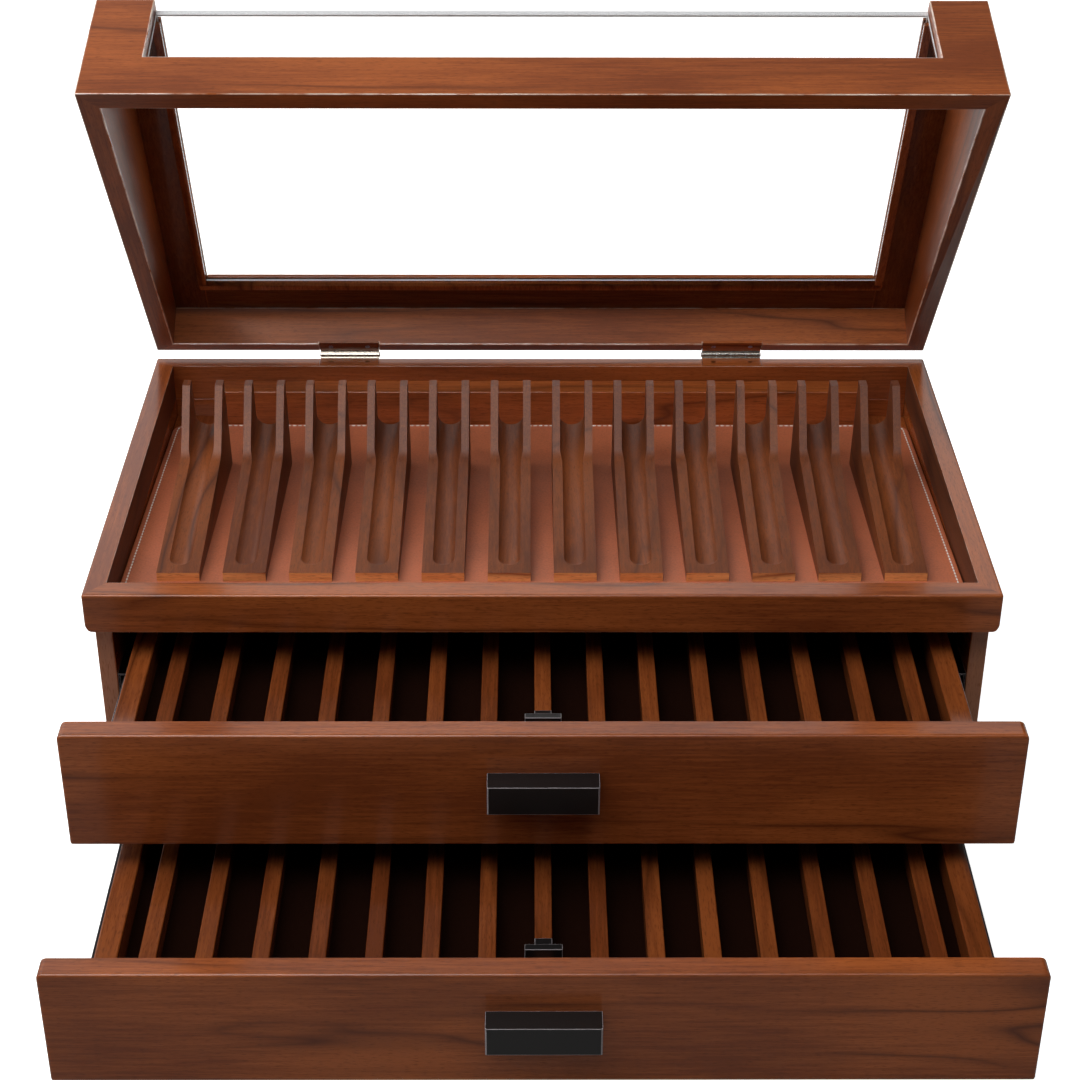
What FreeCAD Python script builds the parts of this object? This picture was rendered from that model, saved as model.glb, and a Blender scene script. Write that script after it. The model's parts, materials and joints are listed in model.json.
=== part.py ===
"""Pen collector chest: tray with pen cradles, glazed lid and two drawers.

Frame: millimetres, +X to the right seen from the front, +Y to the back, +Z up.
The origin is the centre of the chest's footprint, on the surface that its felt base stands on.
The chest is drawn with its lid part open and both drawers pulled out.
"""
import FreeCAD, Part
import math
import os
import re
import Sketcher

SIZES = [
    # the chest as a whole
    ("chest_width", 420.0), ("chest_depth", 242.0), ("body_height", 150.0),
    # rim frame round the top tray
    ("rim_height", 20.0), ("rim_side_wall", 10.0), ("rim_front_wall", 11.0), ("rim_back_wall", 10.0),
    ("rim_edge_radius", 1.2),
    # carcass under the rim
    ("panel_overhang", 2.0), ("panel_wall", 8.0), ("back_panel_wall", 8.0), ("bottom_wall", 5.5),
    ("carcass_front_setback", 11.2),
    ("felt_thickness", 2.5), ("felt_inset", 5.0),
    # top tray
    ("tray_front_depth", 14.0), ("tray_back_depth", 28.5), ("tray_floor_wall", 3.0), ("pad_thickness", 2.0),
    ("pad_margin", 0.6), ("pad_corner_radius", 9.0), ("tray_floor_clearance", 0.2),
    ("rail_depth", 14.0), ("rail_drop", 8.5), ("rail_end_gap", 26.0),
    # pen cradles
    ("cradle_side_gap", 18.025), ("cradle_width", 20.2),
    ("cradle_front_gap", 26.2), ("cradle_front_wall", 4.6),
    ("cradle_kink_y", 9.9), ("cradle_kink_drop", 0.2), ("cradle_kink_radius", 13.0),
    ("ear_front_y", 32.5), ("ear_top_rise", 28.4), ("ear_tip_depth", 6.1), ("ear_back_lean", 7.4),
    ("groove_radius", 6.3), ("groove_depth", 2.75), ("groove_end_gap", 10.8),
    # drawers
    ("front_wall", 10.6), ("rim_gap", 3.0), ("front_gap", 1.0),
    ("front_base_gap", 6.0),
    ("front_edge_radius", 1.4), ("front_clearance", 0.4),
    ("side_wall", 10.0), ("side_drop", 11.5), ("side_base_gap", 3.5), ("slide_space", 9.0),
    ("drawer_back_wall", 9.0), ("drawer_back_gap", 12.0),
    ("deck_drop", 25.0), ("deck_wall", 4.0), ("deck_groove", 4.0),
    ("strip_side_gap", 7.8), ("strip_width", 7.6), ("strip_height", 9.0), ("strip_end_gap", 0.5),
    ("upper_pull_out", 76.2), ("lower_pull_out", 159.4),
    # small metal tab on the middle strip
    ("tab_width", 16.2), ("tab_depth", 3.6), ("tab_height", 7.0), ("tab_setback", 15.0),
    ("tab_foot_length", 14.0), ("tab_foot_wall", 1.2),
    # handles and their screws
    ("handle_width", 49.0), ("handle_height", 15.0), ("handle_reach", 10.8), ("handle_rise", 2.5),
    ("handle_wall", 4.0), ("handle_recess", 3.5), ("handle_edge", 1.0),
    ("handle_screw_spacing", 32.0), ("screw_diameter", 4.0), ("screw_hole_clearance", 0.4),
    ("screw_head_diameter", 7.6), ("screw_head_height", 2.2), ("screw_head_recess", 2.4), ("screw_bite", 6.0),
    # drawer slides
    ("slide_height", 27.0), ("slide_sheet", 1.2), ("slide_front_gap", 1.0), ("slide_end_gap", 14.8),
    ("slide_rise", 1.0),
    ("slide_member_gap", 0.8), ("slide_ball_gap", 2.4), ("slide_side_gap", 0.6),
    # lid
    ("lid_gap", 0.4), ("lid_front_height", 70.5), ("lid_back_height", 27.3), ("lid_front_lean", 25.0),
    ("lid_side_wall", 10.0), ("lid_front_wall", 11.6), ("lid_back_wall", 7.0),
    ("frame_wall", 5.5), ("frame_lip", 2.2), ("stile_width", 27.7), ("glass_rebate", 1.8),
    ("back_rail_depth", 28.4), ("window_sill", 27.2),
    ("glass_thickness", 3.0), ("glass_clearance", 0.3), ("front_glass_setback", 5.5),
    ("bead_width", 4.0), ("bead_height", 3.0),
    ("lid_open_angle", 54.4),
    # hinges
    ("pin_setback", 4.0), ("hinge_inset", 105.5), ("knuckle_length", 8.0), ("knuckle_play", 0.2),
    ("barrel_diameter", 5.0), ("pin_diameter", 2.4), ("pin_play", 0.1),
    ("leaf_thickness", 1.3), ("leaf_depth", 9.0), ("leaf_play", 0.1),
    ("leaf_screw_diameter", 2.6), ("leaf_screw_length", 10.0), ("leaf_screw_spacing", 20.0),
]
CRADLES = 12
STRIPS = 15
KNUCKLES = 4

# places worked out from the sizes, as spreadsheet expressions
FRONT_Y = "(-chest_depth/2)"
BACK_Y = "(chest_depth/2)"
RIM_BOTTOM = "(body_height - rim_height)"
TRAY_HALF = "(chest_width/2 - rim_side_wall)"
TRAY_FRONT = "(-chest_depth/2 + rim_front_wall)"
TRAY_BACK = "(chest_depth/2 - rim_back_wall)"
CARCASS_HALF = "(chest_width/2 - panel_overhang)"
CARCASS_INNER = "(chest_width/2 - panel_overhang - panel_wall)"
CARCASS_FRONT = "(-chest_depth/2 + carcass_front_setback)"
CARCASS_BACK = "(chest_depth/2 - panel_overhang)"
TRAY_SLOPE = f"((tray_back_depth - tray_front_depth)/({TRAY_BACK} - {TRAY_FRONT}))"
SIDE_OUTER = f"({CARCASS_INNER} - slide_space)"
SIDE_INNER = f"({SIDE_OUTER} - side_wall)"
DRAWER_BACK = f"({CARCASS_BACK} - back_panel_wall - drawer_back_gap)"
CRADLE_PITCH = f"((2*{TRAY_HALF} - 2*cradle_side_gap - cradle_width)/{CRADLES - 1})"
STRIP_PITCH = f"((2*{SIDE_INNER} - 2*strip_side_gap - strip_width)/{STRIPS - 1})"
SLIDE_FRONT = f"({CARCASS_FRONT} + slide_front_gap)"
SLIDE_LENGTH = f"({CARCASS_BACK} - back_panel_wall - slide_end_gap - {SLIDE_FRONT})"
RAIL_HALF = f"({TRAY_HALF} - rail_end_gap)"
HINGE_CENTRE = "(chest_width/2 - hinge_inset)"
WINDOW_HALF = "(chest_width/2 - stile_width)"
OPENING_HALF = f"({WINDOW_HALF} - glass_rebate)"
LID_BASE = "(body_height + lid_gap)"
LID_SLOPE = "((lid_front_height - lid_back_height)/(chest_depth - lid_front_lean))"
PIN_Y = "(chest_depth/2 + pin_setback)"
PIN_Z = "(body_height + lid_gap/2)"
FRONT_HEIGHT = f"(({RIM_BOTTOM} - rim_gap - front_gap - front_base_gap)/2)"
SIDE_HEIGHT = f"({FRONT_HEIGHT} - side_drop - side_base_gap)"
DRAWERS = {
    "upper": {"top": f"({RIM_BOTTOM} - rim_gap)", "pull": "upper_pull_out"},
    "lower": {"top": f"({RIM_BOTTOM} - rim_gap - {FRONT_HEIGHT} - front_gap)", "pull": "lower_pull_out"},
}

doc = FreeCAD.newDocument("PenChest")
sheet = doc.addObject("Spreadsheet::Sheet", "Sizes")
pieces = []


def fill_sheet():
    """Write each size and its alias into the spreadsheet."""
    for row, (alias, size) in enumerate(SIZES, start=1):
        sheet.set(f"A{row}", alias)
        sheet.set(f"B{row}", str(size))
        sheet.setAlias(f"B{row}", alias)
    doc.recompute()


ALIASES = {alias for alias, size in SIZES}


def cell(text):
    """Point each alias in an expression at the spreadsheet."""
    return re.sub(r"[a-z][a-z_]*[a-z]", lambda m: "Sizes." + m[0] if m[0] in ALIASES else m[0], str(text))


def number(text):
    """Value of an expression, for a shape that is set in code."""
    return float(sheet.evalExpression(cell(text)))


def keep(piece, label):
    """Give a finished sub-part its node name and list it for export."""
    piece.Label = label
    pieces.append(piece)
    return piece


def place(piece, x, y, z):
    for axis, text in zip("xyz", (x, y, z)):
        piece.setExpression(f"Placement.Base.{axis}", cell(text))


def box(name, low, size):
    """Block with its lowest corner and its three sizes bound to the sheet."""
    block = doc.addObject("Part::Box", name)
    for side, text in zip(("Length", "Width", "Height"), size):
        block.setExpression(side, cell(text))
    place(block, *low)
    return block


TURNS = {"+z": (0, 0, 0), "+x": (0, 90, 0), "+y": (0, 0, -90), "-y": (0, 0, 90)}


def rod(name, start, diameter, length, direction):
    """Cylinder from a start point along a row axis."""
    post = doc.addObject("Part::Cylinder", name)
    post.setExpression("Radius", cell(f"({diameter})/2"))
    post.setExpression("Height", cell(length))
    post.Placement.Rotation = FreeCAD.Rotation(*TURNS[direction])
    place(post, *start)
    return post


def faceted(name, start, diameter, length, direction):
    """Twelve-sided shank that stands for a screw's thread."""
    shank = doc.addObject("Part::Prism", name)
    shank.Polygon = 12
    shank.setExpression("Circumradius", cell(f"({diameter})/2"))
    shank.setExpression("Height", cell(length))
    shank.Placement.Rotation = FreeCAD.Rotation(*TURNS[direction])
    place(shank, *start)
    return shank


def extruded(name, outline, low, width, arcs=(), plane="YZ"):
    """Closed outline padded along the plane's normal, from low, by width.

    On the YZ plane the corners are (y, z) and the pad runs along +X; on the XZ plane they are (x, z)
    and it runs along +Y. arcs pairs a corner's index with its fillet radius.
    """
    body = doc.addObject("PartDesign::Body", name)
    sketch = body.newObject("Sketcher::SketchObject", name + "Outline")
    origin_plane = next(f for f in body.Origin.OriginFeatures if f.Role == plane + "_Plane")
    sketch.AttachmentSupport = [(origin_plane, "")]
    sketch.MapMode = "FlatFace"
    corners = [FreeCAD.Vector(number(across), number(up), 0) for across, up in outline]
    count = len(corners)
    for i in range(count):
        sketch.addGeometry(Part.LineSegment(corners[i], corners[(i + 1) % count]), False)
    for i in range(count):
        sketch.addConstraint(Sketcher.Constraint("Coincident", i, 2, (i + 1) % count, 1))
    for i, (across, up) in enumerate(outline):
        for kind, text in (("DistanceX", across), ("DistanceY", up)):
            at = sketch.addConstraint(Sketcher.Constraint(kind, -1, 1, i, 1, number(text)))
            sketch.setExpression(f"Constraints[{at}]", cell(text))
    pad = body.newObject("PartDesign::Pad", name + "Pad")
    pad.Profile = sketch
    pad.Reversed = plane == "XZ"
    pad.setExpression("Length", cell(width))
    body.setExpression("Placement.Base." + ("y" if plane == "XZ" else "x"), cell(low))
    doc.recompute()
    for corner, radius in arcs:
        rounding = body.newObject("PartDesign::Fillet", name + "Fillet")
        rounding.Base = (pad, [edge_at(pad.Shape, number(outline[corner][0]), number(outline[corner][1]))])
        rounding.setExpression("Radius", cell(radius))
        doc.recompute()
    return body


def edge_at(shape, y, z):
    """Name of the edge along X at a corner of a side profile."""
    for i, edge in enumerate(shape.Edges, start=1):
        middle = edge.CenterOfMass
        if abs(middle.y - y) < 1e-4 and abs(middle.z - z) < 1e-4:
            return f"Edge{i}"
    raise RuntimeError("no edge at that corner")


def cut(name, base, *tools):
    """Base with each tool taken out of it in turn."""
    for i, tool in enumerate(tools, start=1):
        result = doc.addObject("Part::Cut", f"{name}Cut{i}")
        result.Base = base
        result.Tool = tool
        base = result
    return base


def fuse(name, *shapes):
    joined = doc.addObject("Part::MultiFuse", name)
    joined.Shapes = list(shapes)
    joined.Refine = True
    return joined


def rounded(name, base, radius, wanted):
    """Fillet of the straight edges that wanted(start, end) picks, limited by nothing but the radius."""
    doc.recompute()
    chosen = []
    for i, edge in enumerate(base.Shape.Edges, start=1):
        if len(edge.Vertexes) == 2 and wanted(edge.Vertexes[0].Point, edge.Vertexes[1].Point):
            chosen.append((i, number(radius), number(radius)))
    smooth = doc.addObject("Part::Fillet", name)
    smooth.Base = base
    smooth.Edges = chosen
    return smooth


def group(label, members):
    """One node that holds several separate solids."""
    whole = doc.addObject("Part::Compound", label)
    whole.Links = members
    return keep(whole, label)


# ---------------------------------------------------------------- carcass

def build_carcass():
    depth = f"({CARCASS_BACK} - {CARCASS_FRONT})"
    height = f"({RIM_BOTTOM} - felt_thickness)"
    for label, low_x in (("side_panel_left", f"-{CARCASS_HALF}"), ("side_panel_right", CARCASS_INNER)):
        keep(box(label, (low_x, CARCASS_FRONT, "felt_thickness"), ("panel_wall", depth, height)), label)
    inside = f"(2*{CARCASS_INNER})"
    keep(box("back_panel", (f"-{CARCASS_INNER}", f"({CARCASS_BACK} - back_panel_wall)", "felt_thickness"),
             (inside, "back_panel_wall", height)), "back_panel")
    keep(box("bottom_panel", (f"-{CARCASS_INNER}", CARCASS_FRONT, "felt_thickness"),
             (inside, f"({depth} - back_panel_wall)", "bottom_wall")), "bottom_panel")
    keep(box("felt_base", (f"(-{CARCASS_HALF} + felt_inset)", f"({CARCASS_FRONT} + felt_inset)", "0"),
             (f"(2*{CARCASS_HALF} - 2*felt_inset)", f"({depth} - 2*felt_inset)", "felt_thickness")),
         "felt_base")


def build_rim():
    """Four boards with softened outer arrises; the side boards run between the front and back ones."""
    side_length = f"({TRAY_BACK} - {TRAY_FRONT})"
    boards = {
        "rim_front": (("-chest_width/2", FRONT_Y, RIM_BOTTOM),
                      ("chest_width", "rim_front_wall", "rim_height")),
        "rim_back": (("-chest_width/2", TRAY_BACK, RIM_BOTTOM),
                     ("chest_width", "rim_back_wall", "rim_height")),
        "rim_left": (("-chest_width/2", TRAY_FRONT, RIM_BOTTOM),
                     ("rim_side_wall", side_length, "rim_height")),
        "rim_right": ((TRAY_HALF, TRAY_FRONT, RIM_BOTTOM), ("rim_side_wall", side_length, "rim_height")),
    }
    outer_x = number("chest_width/2")
    outer_y = number(BACK_Y)
    top_z = number("body_height")

    def on_outside(a, b):
        same_x = abs(abs(a.x) - outer_x) < 1e-4 and abs(a.x - b.x) < 1e-4
        same_y = abs(abs(a.y) - outer_y) < 1e-4 and abs(a.y - b.y) < 1e-4
        if abs(a.z - b.z) > 1:
            return same_x and same_y
        return min(a.z, b.z) > top_z - 1e-4 and (same_x or same_y)

    for label, (low, size) in boards.items():
        board = box(label + "_board", low, size)
        if label == "rim_back":
            board = cut(label, board, *leaf_recesses("rim", "(body_height - leaf_thickness)"))
        keep(rounded(label, board, "rim_edge_radius", on_outside), label)


def tray_top(y, drop):
    """Height of the sloping tray surface at y, lowered by drop."""
    return f"(body_height - tray_front_depth - ({y} - {TRAY_FRONT})*{TRAY_SLOPE} - ({drop}))"


def build_tray():
    """Plywood floor that falls to the back, its leather pad and the rail behind the cradles."""
    front = f"({TRAY_FRONT} + tray_floor_clearance)"
    back = f"({TRAY_BACK} - tray_floor_clearance)"
    outline = [(front, tray_top(front, "pad_thickness")), (back, tray_top(back, "pad_thickness")),
               (back, tray_top(back, "pad_thickness + tray_floor_wall")),
               (front, tray_top(front, "pad_thickness + tray_floor_wall"))]
    half = f"({TRAY_HALF} - tray_floor_clearance)"
    keep(extruded("tray_floor", outline, f"-{half}", f"(2*{half})"), "tray_floor")

    rail_front = f"({TRAY_BACK} - rail_depth)"
    pad_front = f"({TRAY_FRONT} + pad_margin)"
    pad_back = f"({rail_front} - pad_margin)"
    outline = [(pad_front, tray_top(pad_front, "0")), (pad_back, tray_top(pad_back, "0")),
               (pad_back, tray_top(pad_back, "pad_thickness")),
               (pad_front, tray_top(pad_front, "pad_thickness"))]
    half = f"({TRAY_HALF} - pad_margin)"
    pad = extruded("tray_pad_sheet", outline, f"-{half}", f"(2*{half})")
    back_y = number(pad_back)
    keep(rounded("tray_pad", pad, "pad_corner_radius",
                 lambda a, b: abs(a.x - b.x) < 1e-4 and min(a.y, b.y) > back_y - 1 and abs(a.z - b.z) > 1e-3),
         "tray_pad")

    rail_back = f"({TRAY_BACK} - tray_floor_clearance)"
    rail_top = "(body_height - rail_drop)"
    outline = [(rail_front, tray_top(rail_front, "pad_thickness")),
               (rail_back, tray_top(rail_back, "pad_thickness")),
               (rail_back, rail_top), (rail_front, rail_top)]
    keep(extruded("cradle_rail", outline, f"-{RAIL_HALF}", f"(2*{RAIL_HALF})"), "cradle_rail")


def groove_tool(label, x, start_y, start_z, rise, length):
    """Ball nose, round channel and the open slot above it, along a cradle's sloping top."""
    tilt = FreeCAD.Rotation(FreeCAD.Vector(1, 0, 0), math.degrees(rise))
    along = FreeCAD.Rotation(FreeCAD.Vector(1, 0, 0), math.degrees(rise) - 90)
    start = FreeCAD.Vector(x, start_y, start_z)
    nose = doc.addObject("Part::Sphere", label + "_nose")
    nose.setExpression("Radius", cell("groove_radius"))
    nose.Placement = FreeCAD.Placement(start, tilt)
    barrel = doc.addObject("Part::Cylinder", label + "_barrel")
    barrel.setExpression("Radius", cell("groove_radius"))
    barrel.Height = length
    barrel.Placement = FreeCAD.Placement(start, along)
    slot = doc.addObject("Part::Box", label + "_slot")
    slot.setExpression("Length", cell("2*groove_radius"))
    slot.Width = length
    slot.Height = length
    slot.Placement = FreeCAD.Placement(start - FreeCAD.Vector(number("groove_radius"), 0, 0), tilt)
    return fuse(label + "_groove", nose, barrel, slot)


def build_cradles():
    """A wedge with two ears at its back, and a ball-nosed groove along its top."""
    front = f"({FRONT_Y} + rim_front_wall + cradle_front_gap)"
    kink_z = "(body_height - cradle_kink_drop)"
    tip_z = "(body_height + ear_top_rise)"
    tip_back = "(ear_front_y + ear_tip_depth)"
    heel = f"({tip_back} + ear_back_lean)"
    front_top = f"({tray_top(front, '0')} + cradle_front_wall)"
    outline = [(front, tray_top(front, "0")), (heel, tray_top(heel, "0")), (tip_back, tip_z),
               ("ear_front_y", tip_z), ("cradle_kink_y", kink_z), (front, front_top)]
    rise = math.atan2(number(f"{kink_z} - {front_top}"), number(f"cradle_kink_y - {front}"))
    radius = number("groove_radius")
    above = radius - number("groove_depth")
    start_y = number(f"{front} + groove_end_gap")
    start_z = number(front_top) + math.tan(rise) * (start_y - number(front)) + above / math.cos(rise)
    length = number(f"{heel} - {front}") * 1.3
    for index in range(CRADLES):
        centre = f"(({index} - {(CRADLES - 1) / 2})*{CRADLE_PITCH})"
        label = f"pen_cradle_{index + 1:02d}"
        block = extruded(label + "_block", outline, f"({centre} - cradle_width/2)", "cradle_width",
                         arcs=((4, "cradle_kink_radius"),))
        x = number(centre)
        channel = groove_tool(label, x, start_y, start_z, rise, length)
        keep(cut(label, block, channel), label)


# ---------------------------------------------------------------- drawers

def screw(name, x, head_y, z, length):
    """Machine screw along -Y whose round head rests against a drawer front's inner face."""
    head = rod(name + "Head", (x, f"({head_y})", z), "screw_head_diameter", "screw_head_height", "+y")
    shank = faceted(name + "Shank", (x, f"({head_y})", z), "screw_diameter", length, "-y")
    return fuse(name, head, shank)


def build_drawer(level):
    """Overlay front, two sides, back and deck with strips between the pens."""
    top, pull = (DRAWERS[level][key] for key in ("top", "pull"))
    outer = f"({FRONT_Y} - {pull})"
    inner = f"({outer} + front_wall)"
    back = f"({DRAWER_BACK} - {pull})"
    side_top = f"({top} - side_drop)"
    side_low = f"({side_top} - {SIDE_HEIGHT})"
    deck_top = f"({top} - deck_drop)"
    middle_z = f"({top} - {FRONT_HEIGHT}/2 + handle_rise)"

    front = box(f"front_{level}_board", ("-chest_width/2", outer, f"({top} - {FRONT_HEIGHT})"),
                ("chest_width", "front_wall", FRONT_HEIGHT))
    holes = [rod(f"front_{level}_hole", (f"{side}*handle_screw_spacing/2", f"({outer} - 1)", middle_z),
                 "(screw_diameter + screw_hole_clearance)", "(front_wall + 2)", "+y") for side in (-1, 1)]
    holes += [rod(f"front_{level}_head_seat",
                  (f"{side}*handle_screw_spacing/2", f"({inner} - screw_head_recess)",
                                               middle_z),
                  "(screw_head_diameter + screw_hole_clearance)", "(screw_head_recess + 1)", "+y")
              for side in (-1, 1)]
    edge_y = number(outer)
    softened = rounded(f"front_{level}_soft", front, "front_edge_radius",
                       lambda a, b: abs(a.y - edge_y) < 1e-4 and abs(b.y - edge_y) < 1e-4)
    keep(cut(f"drawer_front_{level}", softened, *holes), f"drawer_front_{level}")

    depth = f"({back} - {inner})"
    for side, low_x, groove_x in (("left", f"-{SIDE_OUTER}", f"(-{SIDE_INNER} - deck_groove)"),
                                  ("right", SIDE_INNER, SIDE_INNER)):
        label = f"drawer_side_{level}_{side}"
        board = box(label + "_board", (low_x, inner, side_low), ("side_wall", depth, SIDE_HEIGHT))
        groove = box(label + "_groove", (groove_x, f"({inner} - 1)", f"({deck_top} - deck_wall)"),
                     ("deck_groove", f"({depth} + 2)", "deck_wall"))
        keep(cut(label, board, groove), label)
    wide = f"(2*{SIDE_INNER})"
    keep(box(f"drawer_back_{level}", (f"-{SIDE_INNER}", f"({back} - drawer_back_wall)", deck_top),
             (wide, "drawer_back_wall", f"({side_top} - {deck_top})")), f"drawer_back_{level}")
    deck_half = f"({SIDE_INNER} + deck_groove - front_clearance/2)"
    keep(box(f"drawer_deck_{level}", (f"-{deck_half}", inner, f"({deck_top} - deck_wall)"),
             (f"(2*{deck_half})", depth, "deck_wall")), f"drawer_deck_{level}")

    strip_length = f"({back} - drawer_back_wall - {inner} - 2*strip_end_gap)"
    strips = [box(f"strip_{level}", (f"(({i} - {(STRIPS - 1) / 2})*{STRIP_PITCH} - strip_width/2)",
                                     f"({inner} + strip_end_gap)", deck_top),
                  ("strip_width", strip_length, "strip_height")) for i in range(STRIPS)]
    group(f"pen_strips_{level}", strips)

    tab_z = f"({deck_top} + strip_height)"
    tab_y = f"({inner} + tab_setback)"
    upright = box(f"tab_{level}_upright", ("-tab_width/2", tab_y, tab_z),
                  ("tab_width", "tab_depth", "tab_height"))
    foot = box(f"tab_{level}_foot", ("-strip_width/2", tab_y, tab_z),
               ("strip_width", "tab_foot_length", "tab_foot_wall"))
    keep(fuse(f"lift_tab_{level}", upright, foot), f"lift_tab_{level}")
    build_handle(level, outer, middle_z)
    build_runners(level, inner)


def build_handle(level, outer, middle_z):
    """Black bar pull with a finger recess under it, held by two screws from inside the drawer."""
    low_z = f"({middle_z} - handle_height/2)"
    top_z = f"({middle_z} + handle_height/2)"
    nose_y = f"({outer} - handle_reach)"
    lip_y = f"({nose_y} + handle_wall)"
    root_z = f"({low_z} + handle_recess)"
    outline = [(nose_y, low_z), (lip_y, low_z), (lip_y, root_z),
               (outer, root_z), (outer, top_z), (nose_y, top_z)]
    bar = extruded(f"handle_{level}_bar", outline, "-handle_width/2", "handle_width")
    edge_y = number(nose_y)
    half = number("handle_width/2")

    def on_front_corner(a, b):
        return abs(a.y - edge_y) < 1e-4 and abs(b.y - edge_y) < 1e-4 and (
            abs(a.x + b.x) > half or abs(a.z + b.z - 2 * number(low_z)) < 1e-4)

    eased = rounded(f"handle_{level}_eased", bar, "handle_edge", on_front_corner)
    keep(eased, f"handle_{level}")
    length = "(front_wall - screw_head_recess + screw_bite)"
    seat_y = f"{outer} + front_wall - screw_head_recess"
    screws = [screw(f"handle_{level}_screw{i}", f"{side}*handle_screw_spacing/2", seat_y, middle_z, length)
              for i, side in enumerate((-1, 1))]
    group(f"handle_screws_{level}", screws)


def slide_member(name, web_x, edge_x, half, low_y, centre_z):
    """Rolled C section along Y, with its web at web_x and its flanges reaching to edge_x."""
    into = "slide_sheet" if number(edge_x) > number(web_x) else "-slide_sheet"
    inside_x = f"({web_x} + ({into}))"
    low, high = f"({centre_z} - {half})", f"({centre_z} + {half})"
    outline = [(web_x, low), (edge_x, low), (edge_x, f"({low} + slide_sheet)"),
               (inside_x, f"({low} + slide_sheet)"),
               (inside_x, f"({high} - slide_sheet)"), (edge_x, f"({high} - slide_sheet)"),
               (edge_x, high), (web_x, high)]
    return extruded(name, outline, low_y, SLIDE_LENGTH, plane="XZ")


def slide_centre(level):
    return f"({DRAWERS[level]['top']} - side_drop - {SIDE_HEIGHT} + slide_rise + slide_height/2)"


def build_runners(level, inner):
    """The drawer's own slide members, which run inside the cabinet's."""
    half = "(slide_height/2 - slide_sheet - slide_ball_gap)"
    edge_x = f"({CARCASS_INNER} - slide_sheet - slide_member_gap)"
    group(f"drawer_runners_{level}",
          [slide_member(f"runner_{level}_left", f"(-{SIDE_OUTER})", f"(-{edge_x})", half, f"({inner} + 2)",
                        slide_centre(level)),
           slide_member(f"runner_{level}_right", SIDE_OUTER, edge_x, half, f"({inner} + 2)",
                        slide_centre(level))])


def build_cabinet_slides():
    edge_x = f"({SIDE_OUTER} + slide_side_gap)"
    members = []
    for level in DRAWERS:
        for side, sign in (("left", "-1"), ("right", "1")):
            members.append(slide_member(f"cabinet_{level}_{side}", f"({sign}*{CARCASS_INNER})",
                                        f"({sign}*{edge_x})", "(slide_height/2)", SLIDE_FRONT,
                                        slide_centre(level)))
    group("cabinet_slides", members)


# ---------------------------------------------------------------- lid, drawn shut and then swung open

def top_plane(y, drop):
    """Height of the lid's sloping top at y, lowered by drop."""
    return f"({LID_BASE} + lid_back_height + ({BACK_Y} - {y})*{LID_SLOPE} - ({drop}))"


def board_point(setback, drop):
    """Where a plane parallel to the lid's leaning front face meets the sloping top, lowered by drop."""
    share = (f"((lid_front_height - ({drop}) - {LID_SLOPE}*(({setback}) - lid_front_lean))"
             f"/(lid_front_height + {LID_SLOPE}*lid_front_lean))")
    return (f"({FRONT_Y} + ({setback}) + lid_front_lean*{share})", f"({LID_BASE} + lid_front_height*{share})")


def swing(label, *members):
    """Turn closed pieces about the hinge pin to the lid's open angle."""
    leaf = doc.addObject("Part::Compound", label)
    leaf.Links = list(members)
    pin = FreeCAD.Vector(0, number(PIN_Y), number(PIN_Z))
    turn = FreeCAD.Rotation(FreeCAD.Vector(1, 0, 0), -number("lid_open_angle"))
    leaf.Placement = FreeCAD.Placement(FreeCAD.Vector(0, 0, 0), turn, pin)
    return keep(leaf, label)


def build_lid_walls():
    base_front = (FRONT_Y, LID_BASE)
    base_inner = (f"({FRONT_Y} + lid_front_wall)", LID_BASE)
    outline = [base_front, base_inner, board_point("lid_front_wall", "0"), board_point("0", "0")]
    board = extruded("lid_front_board", outline, "-chest_width/2", "chest_width")
    window = box("lid_window", (f"-{WINDOW_HALF}", f"({FRONT_Y} - 1)", f"({LID_BASE} + window_sill)"),
                 (f"(2*{WINDOW_HALF})", "(lid_front_lean + lid_front_wall + 30)", "lid_front_height"))
    swing("lid_front", cut("lid_front_open", board, window))

    back_inner = f"({BACK_Y} - lid_back_wall)"
    outline = [base_inner, (back_inner, LID_BASE), (back_inner, top_plane(back_inner, "frame_wall")),
               board_point("lid_front_wall", "frame_wall")]
    for label, low_x in (("lid_left", "-chest_width/2"), ("lid_right", "(chest_width/2 - lid_side_wall)")):
        swing(label, extruded(label + "_board", outline, low_x, "lid_side_wall"))

    outline = [(back_inner, LID_BASE), (BACK_Y, LID_BASE), (BACK_Y, top_plane(BACK_Y, "frame_wall")),
               (back_inner, top_plane(back_inner, "frame_wall"))]
    back = extruded("lid_back_board", outline, "-chest_width/2", "chest_width")
    swing("lid_back", cut("lid_back_open", back, *leaf_recesses("lid", f"({LID_BASE} - 1)")))


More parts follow.
